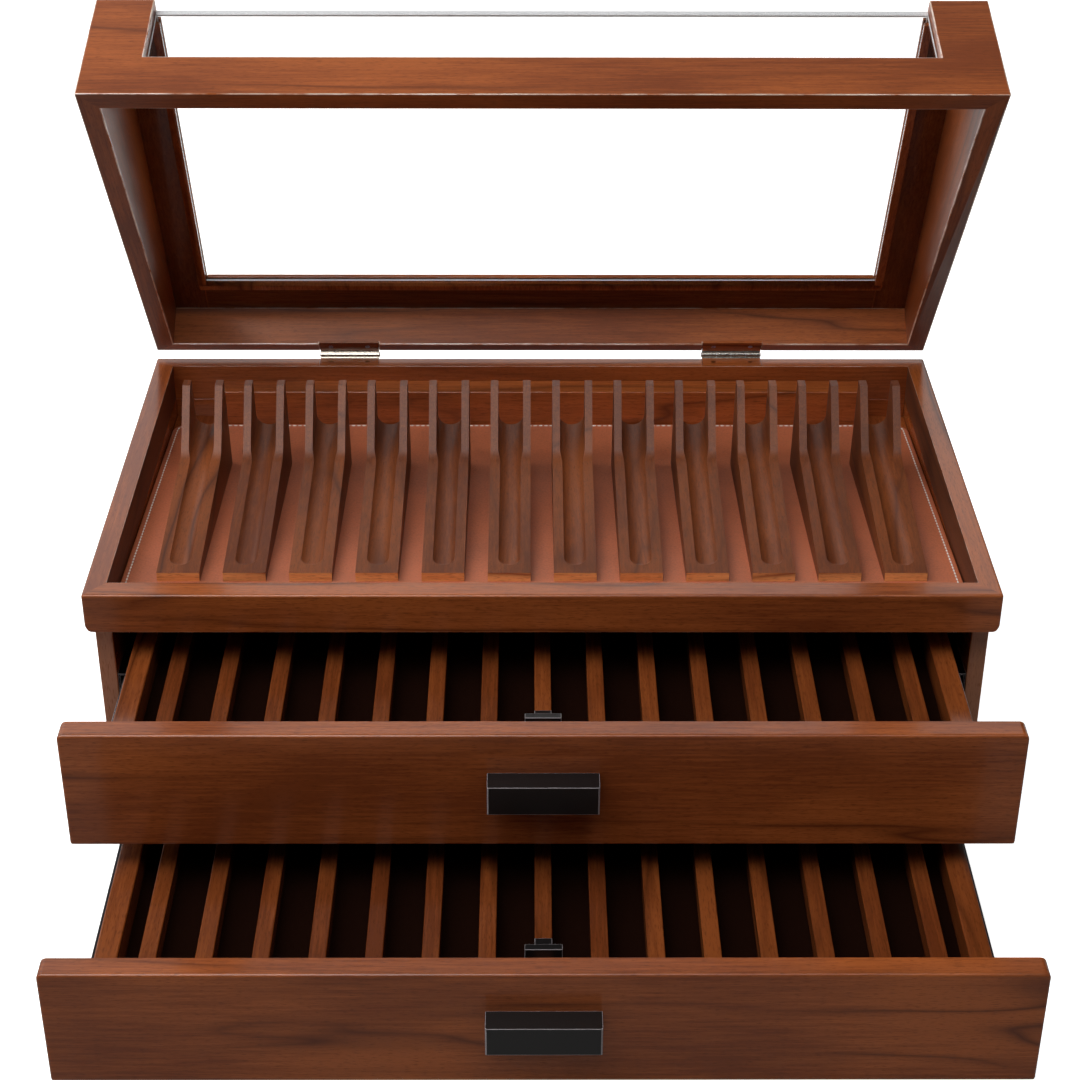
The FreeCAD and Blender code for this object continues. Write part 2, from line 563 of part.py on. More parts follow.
def build_lid_frame():
    """Two stiles and a back rail on top of the walls, rebated underneath for the glass."""
    front_top = board_point("lid_front_wall", "0")
    for label, mirror in (("lid_stile_left", -1), ("lid_stile_right", 1)):
        outline = [board_point("lid_front_wall", "frame_wall"), (BACK_Y, top_plane(BACK_Y, "frame_wall")),
                   (BACK_Y, top_plane(BACK_Y, "0")), front_top]
        low_x = "-chest_width/2" if mirror < 0 else WINDOW_HALF
        bar = extruded(label + "_bar", outline, low_x, "stile_width")
        outline = [board_point("lid_front_wall", "frame_lip"), (BACK_Y, top_plane(BACK_Y, "frame_lip")),
                   (BACK_Y, top_plane(BACK_Y, "0")), front_top]
        low_x = f"-{WINDOW_HALF}" if mirror < 0 else OPENING_HALF
        lip = extruded(label + "_lip", outline, low_x, "glass_rebate")
        swing(label, fuse(label + "_whole", bar, lip))

    rail_front = f"({BACK_Y} - back_rail_depth)"
    rebate = f"({rail_front} + glass_rebate)"
    outline = [(rail_front, top_plane(rail_front, "frame_lip")), (rebate, top_plane(rebate, "frame_lip")),
               (rebate, top_plane(rebate, "frame_wall")), (BACK_Y, top_plane(BACK_Y, "frame_wall")),
               (BACK_Y, top_plane(BACK_Y, "0")), (rail_front, top_plane(rail_front, "0"))]
    rail = extruded("lid_rail_mid", outline, f"-{OPENING_HALF}", f"(2*{OPENING_HALF})")
    ends = []
    for name, low_x in (("lid_rail_end_left", f"-{WINDOW_HALF}"), ("lid_rail_end_right", OPENING_HALF)):
        outline = [(rebate, top_plane(rebate, "frame_lip")), (rebate, top_plane(rebate, "frame_wall")),
                   (BACK_Y, top_plane(BACK_Y, "frame_wall")), (BACK_Y, top_plane(BACK_Y, "frame_lip"))]
        ends.append(extruded(name, outline, low_x, "glass_rebate"))
    swing("lid_rail_back", fuse("lid_rail_whole", rail, *ends))


def build_glass():
    """Top pane in the rebate, front pane in the window, and the bead under the top pane's edge."""
    over = "frame_lip"
    under = "(frame_lip + glass_thickness)"
    half = f"({WINDOW_HALF} - glass_clearance)"
    rebate = f"({BACK_Y} - back_rail_depth + glass_rebate - glass_clearance)"
    outline = [board_point("front_glass_setback", under), (rebate, top_plane(rebate, under)),
               (rebate, top_plane(rebate, over)), board_point("front_glass_setback", over)]
    swing("glass_top", extruded("glass_top_pane", outline, f"-{half}", f"(2*{half})"))

    foot = "(window_sill + glass_clearance)"
    low_share = f"({foot}/lid_front_height)"
    near = f"({FRONT_Y} + front_glass_setback + lid_front_lean*{low_share})"
    low_z = f"({LID_BASE} + {foot})"
    gap = f"({under} + glass_clearance)"
    outline = [(near, low_z), (f"({near} + glass_thickness)", low_z),
               board_point("(front_glass_setback + glass_thickness)", gap),
               board_point("front_glass_setback", gap)]
    swing("glass_front", extruded("glass_front_pane", outline, f"-{half}", f"(2*{half})"))

    top = "frame_wall"
    low = "(frame_wall + bead_height)"
    bead_back = f"({BACK_Y} - back_rail_depth)"
    side = [board_point("(lid_front_wall + glass_clearance)", low), (bead_back, top_plane(bead_back, low)),
            (bead_back, top_plane(bead_back, top)), board_point("(lid_front_wall + glass_clearance)", top)]
    far = f"({bead_back} + bead_width)"
    rear = [(bead_back, top_plane(bead_back, low)), (far, top_plane(far, low)),
            (far, top_plane(far, top)), (bead_back, top_plane(bead_back, top))]
    width = f"(2*({OPENING_HALF} + bead_width))"
    beads = [extruded("bead_left", side, f"(-{OPENING_HALF} - bead_width)", "bead_width"),
             extruded("bead_right", side, OPENING_HALF, "bead_width"),
             extruded("bead_rear", rear, f"(-{OPENING_HALF} - bead_width)", width)]
    swing("glass_beads", *beads)


# ---------------------------------------------------------------- hinges

def leaf_recesses(owner, low_z):
    """Shallow housings for the two leaves of one board."""
    length = f"({KNUCKLES}*knuckle_length + 2*leaf_play)"
    return [box(f"recess_{owner}{i}", (f"({side}*{HINGE_CENTRE} - {length}/2)",
                                       f"({BACK_Y} - leaf_depth - leaf_play)", low_z),
                (length, "(leaf_depth + leaf_play + 1)", "(leaf_thickness + 1)"))
            for i, side in enumerate((-1, 1))]


def hinge_leaf(name, centre, low_z, first):
    """Leaf plate with every second knuckle of the barrel, bored for the pin."""
    start = f"({centre} - {KNUCKLES}*knuckle_length/2)"
    plate = box(name + "_plate", (start, f"({BACK_Y} - leaf_depth)", low_z),
                (f"({KNUCKLES}*knuckle_length)",
                 f"(leaf_depth + pin_setback - barrel_diameter/2 - leaf_play)",
                 "leaf_thickness"))
    solids = [plate]
    for index in range(first, KNUCKLES, 2):
        x = f"({start} + {index}*knuckle_length + knuckle_play/2)"
        length = "(knuckle_length - knuckle_play)"
        solids.append(rod(f"{name}_knuckle{index}", (x, PIN_Y, PIN_Z), "barrel_diameter", length, "+x"))
        solids.append(box(f"{name}_strap{index}", (x, f"({BACK_Y} - leaf_depth)", low_z),
                          (length, "(leaf_depth + pin_setback)", "leaf_thickness")))
    bore = rod(name + "_bore", (f"({start} - 1)", PIN_Y, PIN_Z), "(pin_diameter + pin_play)",
               f"({KNUCKLES}*knuckle_length + 2)", "+x")
    return cut(name, fuse(name + "_solid", *solids), bore)


def leaf_screws(name):
    """Wood screws through the leaves: down into the rim, or up into the lid for names that start with lid."""
    low = LID_BASE if name.startswith("lid") else "(body_height - leaf_screw_length)"
    middle_y = f"({BACK_Y} - leaf_depth/2)"
    return [faceted(name, (f"({side}*{HINGE_CENTRE} + {step}*leaf_screw_spacing/2)", middle_y, low),
                    "leaf_screw_diameter", "leaf_screw_length", "+z") for side in (-1, 1) for step in (-1, 1)]


def build_hinges():
    """Two butt hinges let into the rim and the lid; the pins lie behind the back face."""
    for board, low_z, first in (("rim", "(body_height - leaf_thickness)", 1), ("lid", LID_BASE, 0)):
        leaves = []
        for i, side in enumerate((-1, 1)):
            leaves.append(hinge_leaf(f"{board}_leaf{i}", f"({side}*{HINGE_CENTRE})", low_z, first))
        if board == "rim":
            group("hinge_leaves_rim", leaves)
            group("hinge_screws_rim", leaf_screws("rim_screw"))
        else:
            swing("hinge_leaves_lid", *leaves)
            swing("hinge_screws_lid", *leaf_screws("lid_screw"))
    length = f"({KNUCKLES}*knuckle_length + 1)"
    group("hinge_pins", [rod("hinge_pin", (f"({side}*{HINGE_CENTRE} - {length}/2)", PIN_Y, PIN_Z),
                             "pin_diameter", length, "+x") for side in (-1, 1)])


# ---------------------------------------------------------------- checks and export

def check_document():
    """Stop if any object failed to compute or any sub-part is not a sound solid."""
    doc.recompute()
    for thing in doc.Objects:
        if "Invalid" in thing.State or "Error" in thing.State:
            raise RuntimeError(f"{thing.Label} failed: {thing.State}")
    for piece in pieces:
        shape = piece.Shape
        if shape.isNull() or not shape.isValid() or not shape.Solids:
            raise RuntimeError(f"{piece.Label} is not a valid solid")


def export_parts():
    os.makedirs("parts", exist_ok=True)
    for piece in pieces:
        piece.Shape.exportStep(os.path.join("parts", piece.Label + ".step"))
    print(len(pieces), "nodes,", sum(len(p.Shape.Solids) for p in pieces), "solids")


def main():
    fill_sheet()
    build_carcass()
    build_rim()
    build_tray()
    build_cradles()
    for level in DRAWERS:
        build_drawer(level)
    build_cabinet_slides()
    build_lid_walls()
    build_lid_frame()
    build_glass()
    build_hinges()
    check_document()
    export_parts()


main()
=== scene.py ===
"""Dresses the pen collector chest in lacquered walnut, leather, black metal, nickel and glass."""

import json
import math
import zlib

import bmesh
import bpy
import numpy as np
from bpy.props import FloatProperty, PointerProperty, StringProperty
from mathutils import Matrix, Vector

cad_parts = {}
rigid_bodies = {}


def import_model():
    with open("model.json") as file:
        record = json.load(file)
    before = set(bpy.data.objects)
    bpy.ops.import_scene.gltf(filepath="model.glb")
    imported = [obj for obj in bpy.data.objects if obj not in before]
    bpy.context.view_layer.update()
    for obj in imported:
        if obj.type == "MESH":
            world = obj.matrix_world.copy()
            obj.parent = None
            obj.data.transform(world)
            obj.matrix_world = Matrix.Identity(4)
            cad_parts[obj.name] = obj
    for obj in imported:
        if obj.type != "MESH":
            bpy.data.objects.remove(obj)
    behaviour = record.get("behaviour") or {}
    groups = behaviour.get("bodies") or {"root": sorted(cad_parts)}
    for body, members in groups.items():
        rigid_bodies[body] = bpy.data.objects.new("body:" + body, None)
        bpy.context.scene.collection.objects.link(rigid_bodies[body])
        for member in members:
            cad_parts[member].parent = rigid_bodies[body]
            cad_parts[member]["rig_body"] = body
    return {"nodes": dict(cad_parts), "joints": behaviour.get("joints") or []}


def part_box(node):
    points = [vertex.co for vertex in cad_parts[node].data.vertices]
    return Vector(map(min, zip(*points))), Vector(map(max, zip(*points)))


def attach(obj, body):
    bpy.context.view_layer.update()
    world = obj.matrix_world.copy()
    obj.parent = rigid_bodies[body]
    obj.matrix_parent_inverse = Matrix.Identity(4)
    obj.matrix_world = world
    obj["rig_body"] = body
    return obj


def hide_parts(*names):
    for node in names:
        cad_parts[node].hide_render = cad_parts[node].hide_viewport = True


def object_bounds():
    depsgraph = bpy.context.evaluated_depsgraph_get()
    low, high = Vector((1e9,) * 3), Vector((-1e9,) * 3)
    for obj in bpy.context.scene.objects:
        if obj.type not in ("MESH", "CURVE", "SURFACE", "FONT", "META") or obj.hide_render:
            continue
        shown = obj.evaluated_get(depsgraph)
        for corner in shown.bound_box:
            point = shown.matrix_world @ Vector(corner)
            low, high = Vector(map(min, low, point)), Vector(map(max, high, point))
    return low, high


bl_info = {
    "name": "Pen Collector Chest",
    "version": (1, 0, 0),
    "blender": (4, 5, 0),
    "location": "View3D > Sidebar > Chest",
    "description": "Dresses a pen collector chest: walnut, leather, black metal, nickel and glass",
    "category": "Object",
}

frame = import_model()
CAD_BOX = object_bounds()
NODES = frame["nodes"]
MM = 0.001

LEVELS = ("upper", "lower")
LID_JOINT = next(j for j in frame["joints"] if j["name"] == "lid_hinge")
LID_OPEN = math.radians(-LID_JOINT["range_deg"][0])
HINGE = np.array(LID_JOINT["pos_m"])

# boards by the way their grain runs, with how round their arrises are in millimetres
X_GRAIN = {
    "cradle_rail": 0.7, "back_panel": 0.4, "bottom_panel": 0.4,
    "lid_rail_back": 0.6,
    "drawer_front_upper": 0.9, "drawer_front_lower": 0.9,
    "drawer_back_upper": 0.5, "drawer_back_lower": 0.5,
}
Y_GRAIN = {
    "tray_floor": 0.2,
    "lid_stile_left": 0.6, "lid_stile_right": 0.6, "glass_beads": 0.5,
    "drawer_side_upper_left": 0.7, "drawer_side_upper_right": 0.7,
    "drawer_side_lower_left": 0.7, "drawer_side_lower_right": 0.7,
    "pen_strips_upper": 0.5, "pen_strips_lower": 0.5,
}
CRADLES = [f"pen_cradle_{i:02d}" for i in range(1, 13)]
# how light the stain is, against 1 for the outer boards
TONES = {"pen_strips": 0.6, "drawer_side": 0.62}
# the lid's and rim's inside tones darken their inner faces: painted shade
LID_INSIDE_SHADE, RIM_INSIDE_SHADE, CRADLE_TONE = 0.45, 0.35, 0.56
# the lacquer's gloss, as roughness and coat weight
SPRAYED, LID_SPRAYED, WIPED, DULL = (0.18, 0.2), (0.28, 0.0), (0.4, 0.0), (0.5, 0.0)

RIM_ARRIS, LID_ARRIS, PANEL_ARRIS = 0.9 * MM, 1.0 * MM, 0.6 * MM
LINING_ARRIS, PANE_ARRIS = 0.3 * MM, 0.25 * MM
LEAF_ARRIS, SCREW_ARRIS, STEEL_ARRIS = 0.12 * MM, 0.2 * MM, 0.3 * MM
RIM_CORNER = 3.6 * MM
FRONT_CORNERS = 3.0 * MM, 1.5 * MM
# where a corner square is cut before it is drawn round, as shares of its radius
CORNER_CUTS = (0.0, 0.15, 0.3, 0.45, 0.6, 0.75, 0.9)

PAD_THICKNESS = 2.0 * MM
PAD_BACK_RADIUS = 9.0 * MM
PAD_FOOT = 0.4 * MM

# edges that bend more than this are rounded, and those that still do afterwards shade crisp
ARRIS_ANGLE, CRISP_ANGLE = math.radians(30), math.radians(40)
# a face looks along an axis when that part of its normal is above FACING, and slants when every part is
# below SLANTING
FACING, SLANTING = 0.7, 0.97
# largest area, in square metres, of a face that counts as part of an arris or a round
ARRIS_FACE = 6e-5


# ---------------------------------------------------------------- sizes and colours a user would change

class ChestSizes(bpy.types.PropertyGroup):
    """Sizes of the finish."""
    cradle_arris: FloatProperty(
        name="Cradle arris", description="Roundness of a cradle's edges", default=0.45 * MM, unit="LENGTH")
    metal_arris: FloatProperty(
        name="Metal arris", description="Roundness of the pulls' edges", default=0.25 * MM, unit="LENGTH")
    pad_roll: FloatProperty(
        name="Pad roll", description="Width of the leather's rolled edge", default=1.6 * MM, unit="LENGTH")
    stitch_pitch: FloatProperty(
        name="Stitch pitch", description="Distance from stitch to stitch", default=2.9 * MM, unit="LENGTH")
    stitch_length: FloatProperty(
        name="Stitch length", description="Length of one stitch", default=2.4 * MM, unit="LENGTH")
    thread_width: FloatProperty(
        name="Thread width", description="Thickness of the thread", default=0.85 * MM, unit="LENGTH")
    stitch_inset: FloatProperty(
        name="Stitch inset", description="Seam's distance from the edge", default=2.9 * MM, unit="LENGTH")


class ChestColours(bpy.types.PropertyGroup):
    """Colours as sRGB hex values."""
    wood_dark: StringProperty(name="Wood, dark", description="Late wood and pores", default="#653016")
    wood_mid: StringProperty(name="Wood, middle", description="Stained walnut", default="#874320")
    wood_light: StringProperty(name="Wood, light", description="Early wood", default="#b5612e")
    # pale greyish: the lipping's stain with a painted sheen laid in
    lipping_with_sheen: StringProperty(name="Lipping", description="Side panels' narrow edges", default="#b87858")
    lipping_light: StringProperty(
        name="Lipping, light", description="Streaks of the side panels' narrow edges", default="#c4825c")
    sawn_end: StringProperty(name="Sawn end", description="Cradles' front ends", default="#d98c50")
    sawn_end_light: StringProperty(
        name="Sawn end, light", description="Streaks of the cradles' front ends", default="#f6b774")
    # near white: paints the highlight line along the frames' arrises
    arris: StringProperty(
        name="Painted arris highlight", description="Painted highlight along the frames' arrises", default="#f8dfca")
    end_dark: StringProperty(name="End grain, dark", description="Pores of the end grain", default="#5a2a12")
    end_light: StringProperty(
        name="End grain, light", description="Ground of the end grain", default="#a8622f")
    leather: StringProperty(name="Leather", description="Pad", default="#c76b42")
    leather_dark: StringProperty(
        name="Leather creases", description="Grain valleys of the pad", default="#a45632")
    thread: StringProperty(name="Thread", description="Pad's seam", default="#fbf7f0")
    lining: StringProperty(name="Lining", description="Velvet of the drawers", default="#1a0c07")
    black: StringProperty(name="Black enamel", description="Pulls and tabs", default="#0e0c0d")
    # pale grey: a painted highlight along the enamel's arrises, and bare worn steel on the steel pieces
    metal_edge_highlight_and_wear: StringProperty(
        name="Metal, edge", description="Arrises and rounds of the metal pieces", default="#a39da0")
    slide: StringProperty(name="Slides", description="Blackened steel", default="#1b1a1c")
    nickel: StringProperty(name="Nickel", description="Hinges and screws", default="#c9c3ba")
    felt: StringProperty(name="Felt", description="Base sheet", default="#1d1512")
    glass_edge: StringProperty(name="Glass edge", description="Pits of the ground edges", default="#d5d6d8")
    glass_edge_light: StringProperty(
        name="Glass edge, light", description="Flats of the ground edges", default="#f6f6f7")
    floor: StringProperty(name="Floor", description="Floor and room", default="#f7f6f4")


class StageSettings(bpy.types.PropertyGroup):
    """Camera and lights."""
    lens: FloatProperty(
        name="Lens", description="Focal length on a 36 mm sensor", default=73.87, unit="CAMERA")
    pitch: FloatProperty(
        name="Pitch", description="How far it looks down", default=math.radians(31.08), subtype="ANGLE")
    yaw: FloatProperty(
        name="Yaw", description="How far it turns to the right", default=math.radians(0.31), subtype="ANGLE")
    roll: FloatProperty(
        name="Roll", description="How far it leans", default=math.radians(0.17), subtype="ANGLE")
    key: FloatProperty(
        name="Key light", description="Power of the left softbox", default=7.5, unit="POWER")
    fill: FloatProperty(
        name="Fill light", description="Power of the right softbox", default=0.6, unit="POWER")
    front: FloatProperty(
        name="Front light", description="Power of the softbox above the camera", default=7.0, unit="POWER")
    top: FloatProperty(
        name="Top light", description="Power of the strip overhead", default=14.0, unit="POWER")
    back: FloatProperty(
        name="Back light", description="Power of the softbox behind", default=18.0, unit="POWER")
    card: FloatProperty(
        name="Gloss card", description="Power of the card for gloss alone", default=26.0, unit="POWER")
    sky: FloatProperty(name="Sky", description="Brightness of the room", default=0.03)


CAMERA_PLACE = Vector((-0.00594, -0.97085, 0.69172))
LIT_PLACE = Vector((0, -0.02, 0.12))
# each light's power in the settings, its place and its size
LAMPS = {
    "key_box": ("key", (-1.5, -0.35, 1.3), (1.2, 1.0)),
    "fill_box": ("fill", (1.5, -0.35, 1.3), (1.2, 1.0)),
    "front_box": ("front", (-0.7, -0.85, 1.6), (1.6, 0.4)),
    "gloss_card": ("card", (-0.7, -0.95, 1.45), (1.8, 0.8)),
    "top_strip": ("top", (-0.3, -0.4, 1.8), (2.4, 0.2)),
    "back_box": ("back", (-0.6, 1.9, 1.25), (3.2, 1.5)),
}
FLOOR_REACH = 30.0


# ---------------------------------------------------------------- helpers

def linear(hexcode):
    """sRGB hex to linear RGBA: (c + 0.055)/1.055 to the power 2.4, or c/12.92 near black."""
    channels = [int(hexcode[i:i + 2], 16) / 255 for i in (1, 3, 5)]
    return [c / 12.92 if c <= 0.04045 else ((c + 0.055) / 1.055) ** 2.4 for c in channels] + [1.0]


def add(tree, kind, inputs=(), stops=(), **settings):
    """Adds a node.

    Settings are its properties, inputs its values or the sockets that feed it, and stops its ramp's colours.
    """
    node = tree.nodes.new(kind)
    for name, value in settings.items():
        setattr(node, name, value)
    for key, value in dict(inputs).items():
        if isinstance(value, bpy.types.NodeSocket):
            tree.links.new(value, node.inputs[key])
        else:
            node.inputs[key].default_value = value
    for i, (position, colour) in enumerate(stops):
        ramp = node.color_ramp.elements
        stop = ramp[i] if i < 2 else ramp.new(position)
        stop.position = position
        stop.color = colour
    return node


def new_material(name):
    """Empty node material and its tree."""
    material = bpy.data.materials.new(name)
    material.use_nodes = True
    material.node_tree.nodes.clear()
    return material, material.node_tree


def shaded(colour, share):
    """A linear colour times a share, its alpha kept."""
    return [min(1.0, c * share) for c in colour[:3]] + [1.0]


def finish_surface(tree, shader):
    """Joins the shader to the material's output."""
    add(tree, "ShaderNodeOutputMaterial", {"Surface": shader.outputs[0]})


def clothe(obj, material):
    """Gives the object that one material."""
    obj.data.materials.clear()
    obj.data.materials.append(material)
    return obj


def mesh_object(name, points, faces):
    """Object at the origin from an array of points and a list of faces."""
    mesh = bpy.data.meshes.new(name)
    mesh.from_pydata(np.asarray(points, float).reshape(-1, 3).tolist(), [], faces)
    mesh.validate()
    obj = bpy.data.objects.new(name, mesh)
    bpy.context.scene.collection.objects.link(obj)
    return obj


def fix_normals(obj):
    """Turns all faces of closed shells outwards."""
    work = bmesh.new()
    work.from_mesh(obj.data)
    bmesh.ops.recalc_face_normals(work, faces=work.faces)
    work.to_mesh(obj.data)
    work.free()


def grid_faces(rows, columns, wrap=False):
    """Quads of a grid of rows by columns points; wrap joins the last column to the first."""
    across = columns if wrap else columns - 1
    i, j = np.meshgrid(np.arange(rows - 1), np.arange(across), indexing="ij")
    after = (j + 1) % columns
    near, far = i * columns, (i + 1) * columns
    return np.stack([near + j, near + after, far + after, far + j], -1).reshape(-1, 4)


def merged(node):
    """A node's mesh with its doubles merged and its flats joined."""
    work = bmesh.new()
    work.from_mesh(NODES[node].data)
    bmesh.ops.remove_doubles(work, verts=work.verts, dist=2e-6)
    return join_flats(work)


def join_flats(work):
    """Dissolves the edges that lie within a flat."""
    bmesh.ops.dissolve_limit(work, angle_limit=math.radians(0.4), verts=work.verts, edges=work.edges)
    return work


def cut(work, faces, place, normal):
    """Cuts those faces along a plane through a place."""
    geom = faces + list({e for f in faces for e in f.edges}) + list({v for f in faces for v in f.verts})
    bmesh.ops.bisect_plane(work, geom=geom, dist=1e-7, plane_co=place, plane_no=normal)


def mesh_points(mesh):
    """A mesh's points, one row of x, y and z each."""
    flat = np.empty(len(mesh.vertices) * 3)
    mesh.vertices.foreach_get("co", flat)
    return flat.reshape(-1, 3)


def move_points(mesh, points):
    """Puts a mesh's points in those places."""
    mesh.vertices.foreach_set("co", points.ravel())
    mesh.update()


def face_values(mesh, name, width=1, kind=float):
    """A value of every face, or a row of width values."""
    values = np.empty(len(mesh.polygons) * width, kind)
    mesh.polygons.foreach_get(name, values)
    return values.reshape(-1, width) if width > 1 else values


def add_finish(piece, material, chosen, over=(0,)):
    """Gives the chosen faces one more material, where their slot is still one of those in over."""
    piece.data.materials.append(material)
    slots = face_values(piece.data, "material_index", kind=np.int32)
    slots[chosen & np.isin(slots, over)] = len(piece.data.materials) - 1
    piece.data.polygons.foreach_set("material_index", slots)


def round_corners(piece, top, bottom):
    """Rounds a board's corners, seen from the front, to a top and a bottom radius.

    Lines are cut into each corner square, where u and v run from 0 to 1 towards the corner. The square is
    then drawn in to a quarter disc: u becomes u sqrt(1 - v v / 2), and v becomes v sqrt(1 - u u / 2).
    """
    work = bmesh.new()
    work.from_mesh(piece.data)
    heights = [v.co.z for v in work.verts]
    half, low, high = max(abs(v.co.x) for v in work.verts), min(heights), max(heights)
    ends = [(radius, end, way) for radius, end, way in ((top, high, -1), (bottom, low, 1)) if radius > 0]
    for radius, end, way in ends:
        for share in CORNER_CUTS:
            for sign in (-1, 1):
                near = [f for f in work.faces if max(v.co.x * sign for v in f.verts) > half - radius - 1e-6]
                cut(work, near, (sign * (half - radius * (1 - share)), 0, 0), (1, 0, 0))
            near = [f for f in work.faces if min(abs(v.co.x) for v in f.verts) > half - radius - 1e-6]
            cut(work, near, (0, 0, end + way * radius * (1 - share)), (0, 0, 1))
    work.to_mesh(piece.data)
    work.free()
    points = mesh_points(piece.data)
    for radius, end, way in ends:
        u = np.clip((np.abs(points[:, 0]) - half + radius) / radius, 0, 1)
        v = np.clip(1 - (points[:, 2] - end) * way / radius, 0, 1)
        inside = (u > 0) & (v > 0)
        x = half - radius + radius * u * np.sqrt(1 - v * v / 2)
        z = end + way * radius * (1 - v * np.sqrt(1 - u * u / 2))
        points[:, 0] = np.where(inside, np.sign(points[:, 0]) * x, points[:, 0])
        points[:, 2] = np.where(inside, z, points[:, 2])
    move_points(piece.data, points)


def even_flats(piece):
    """Modifier that takes a flat's shading from the flat, and not from the arrises round it."""
    evener = piece.modifiers.new("even_flats", "WEIGHTED_NORMAL")
    evener.weight = 100
    return evener


def rounded_piece(name, work, width, body, nodes, segments=3, arris_slot=-1):
    """Piece from a bmesh, its outer arrises rounded by width and its inside corners crisp."""
    arrises = [e for e in work.edges
               if e.is_manifold and e.is_convex and e.calc_face_angle(0.0) > ARRIS_ANGLE]
    if width > 0:
        bmesh.ops.bevel(work, geom=arrises, offset=width, offset_type="OFFSET", segments=segments,
                        profile=0.5, affect="EDGES", clamp_overlap=True, material=arris_slot)
    for edge in work.edges:
        edge.smooth = edge.calc_face_angle(0.0) < CRISP_ANGLE
    for face in work.faces:
        face.smooth = True
    mesh = bpy.data.meshes.new(name)
    work.to_mesh(mesh)
    work.free()
    obj = bpy.data.objects.new(name, mesh)
    bpy.context.scene.collection.objects.link(obj)
    even_flats(obj).keep_sharp = True
    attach(obj, body)
    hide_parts(*nodes)
    return obj


def softened(node, width, segments=3):
    """Copy of one node with rounded arrises, in its place."""
    return rounded_piece(node + "_finished", merged(node), width, NODES[node]["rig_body"], [node], segments)


def walnut_board(node, width, grain, tone=1.0, gloss=SPRAYED, segments=3):
    """Board in stained walnut."""
    in_lid = NODES[node]["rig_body"] == "lid"
    return clothe(softened(node, width, segments), stained_walnut(node, grain, in_lid, tone, gloss))


def glued(nodes):
    """Union of touching boards as one bmesh: what their faces have in common is gone."""
    boards = []
    for node in nodes:
        mesh = bpy.data.meshes.new("board")
        work = merged(node)
        work.to_mesh(mesh)
        work.free()
        boards.append(bpy.data.objects.new("board", mesh))
        bpy.context.scene.collection.objects.link(boards[-1])
    for other in boards[1:]:
        joint = boards[0].modifiers.new("joint", "BOOLEAN")
        joint.operation = "UNION"
        joint.solver = "EXACT"
        joint.object = other
    whole = boards[0].evaluated_get(bpy.context.evaluated_depsgraph_get())
    work = bmesh.new()
    work.from_mesh(whole.to_mesh())
    whole.to_mesh_clear()
    for board in boards:
        bpy.data.meshes.remove(board.data)
    bmesh.ops.remove_doubles(work, verts=work.verts, dist=5e-6)
    return join_flats(work)


def shut(points, share=1.0):
    """Points turned with the lid from its rest place to closed, or back where share is -1."""
    c, s = math.cos(LID_OPEN * share), math.sin(LID_OPEN * share)
    y, z = points[..., 1] - HINGE[1], points[..., 2] - HINGE[2]
    return np.stack([points[..., 0], HINGE[1] + y * c - z * s, HINGE[2] + y * s + z * c], -1)


def mitred_frame(name, front, back, left, right, arris, in_lid):
    """Four boards as one frame whose grain turns at mitres: lines from each outer corner to its inner one."""
    turn = shut if in_lid else np.asarray
    base = {}
    for key, node in (("front", front), ("back", back), ("left", left)):
        points = turn(mesh_points(NODES[node].data))
        foot = points[points[:, 2] < points[:, 2].min() + 0.0003] if in_lid else points
        base[key] = foot.min(0), foot.max(0)
    half, side = -base["left"][0][0], base["left"][1][0] - base["left"][0][0]
    low, front_wall = base["front"][0][1], base["front"][1][1] - base["front"][0][1]
    high, back_wall = base["back"][1][1], base["back"][1][1] - base["back"][0][1]
    work = glued([front, back, left, right])
    # the mitre lines are cut into the faces that lie across both boards
    spin = Matrix.Rotation(-LID_OPEN if in_lid else 0.0, 3, "X")
    up = spin @ Vector((0, 0, 1))
    for sign in (-1, 1):
        for corner, wall, way in ((low, front_wall, 1), (high, back_wall, -1)):
            across = spin @ Vector((-wall * way, sign * -side, 0)).normalized()
            place = Vector((sign * half, corner, 0))
            if in_lid:
                place = Vector(HINGE) + spin @ (Vector((sign * half, corner, HINGE[2])) - Vector(HINGE))
            flats = [f for f in work.faces if abs(f.normal.dot(up)) > 0.9
                     and f.calc_center_median().x * sign > -0.05]
            cut(work, flats, place, across)
    piece = rounded_piece(name, work, arris, NODES[front]["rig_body"], [front, back, left, right],
                          arris_slot=2)
    for grain in "XY":
        piece.data.materials.append(
            stained_walnut(f"{name}_{grain}", grain, in_lid, gloss=LID_SPRAYED if in_lid else SPRAYED))
    # third material: the painted arris highlight on the rounded arrises
    piece.data.materials.append(painted_arris_highlight())
    normals, middles = (face_values(piece.data, key, 3) for key in ("normal", "center"))
    if in_lid:
        middles, normals = shut(middles), shut(normals + HINGE) - HINGE
        # a rounded sharp corner never reaches below the boards' own foot
        closed = shut(mesh_points(piece.data))
        closed[:, 2] = np.maximum(closed[:, 2], shut(mesh_points(NODES[front].data))[:, 2].min())
        move_points(piece.data, shut(closed, -1.0))
    x, y = np.abs(middles[:, 0]), middles[:, 1]
    near_side = (half - x) / side < np.minimum((y - low) / front_wall, (high - y) / back_wall)
    across_y, across_x = np.abs(normals[:, 1]) > FACING, np.abs(normals[:, 0]) > FACING
    slots = face_values(piece.data, "material_index", kind=np.int32)
    slots[slots == 0] = (across_x | (near_side & ~across_y))[slots == 0]
    piece.data.polygons.foreach_set("material_index", slots)
    if not in_lid:
        # the side boards' inner faces are darkened: painted shade inside the tray
        add_finish(piece, stained_walnut(name + "_inside", "Y", tone=RIM_INSIDE_SHADE, gloss=DULL),
                   normals[:, 0] * np.sign(middles[:, 0]) < -FACING, over=(0, 1))
        round_corners(piece, 0.0, RIM_CORNER)
    return piece


# ---------------------------------------------------------------- materials

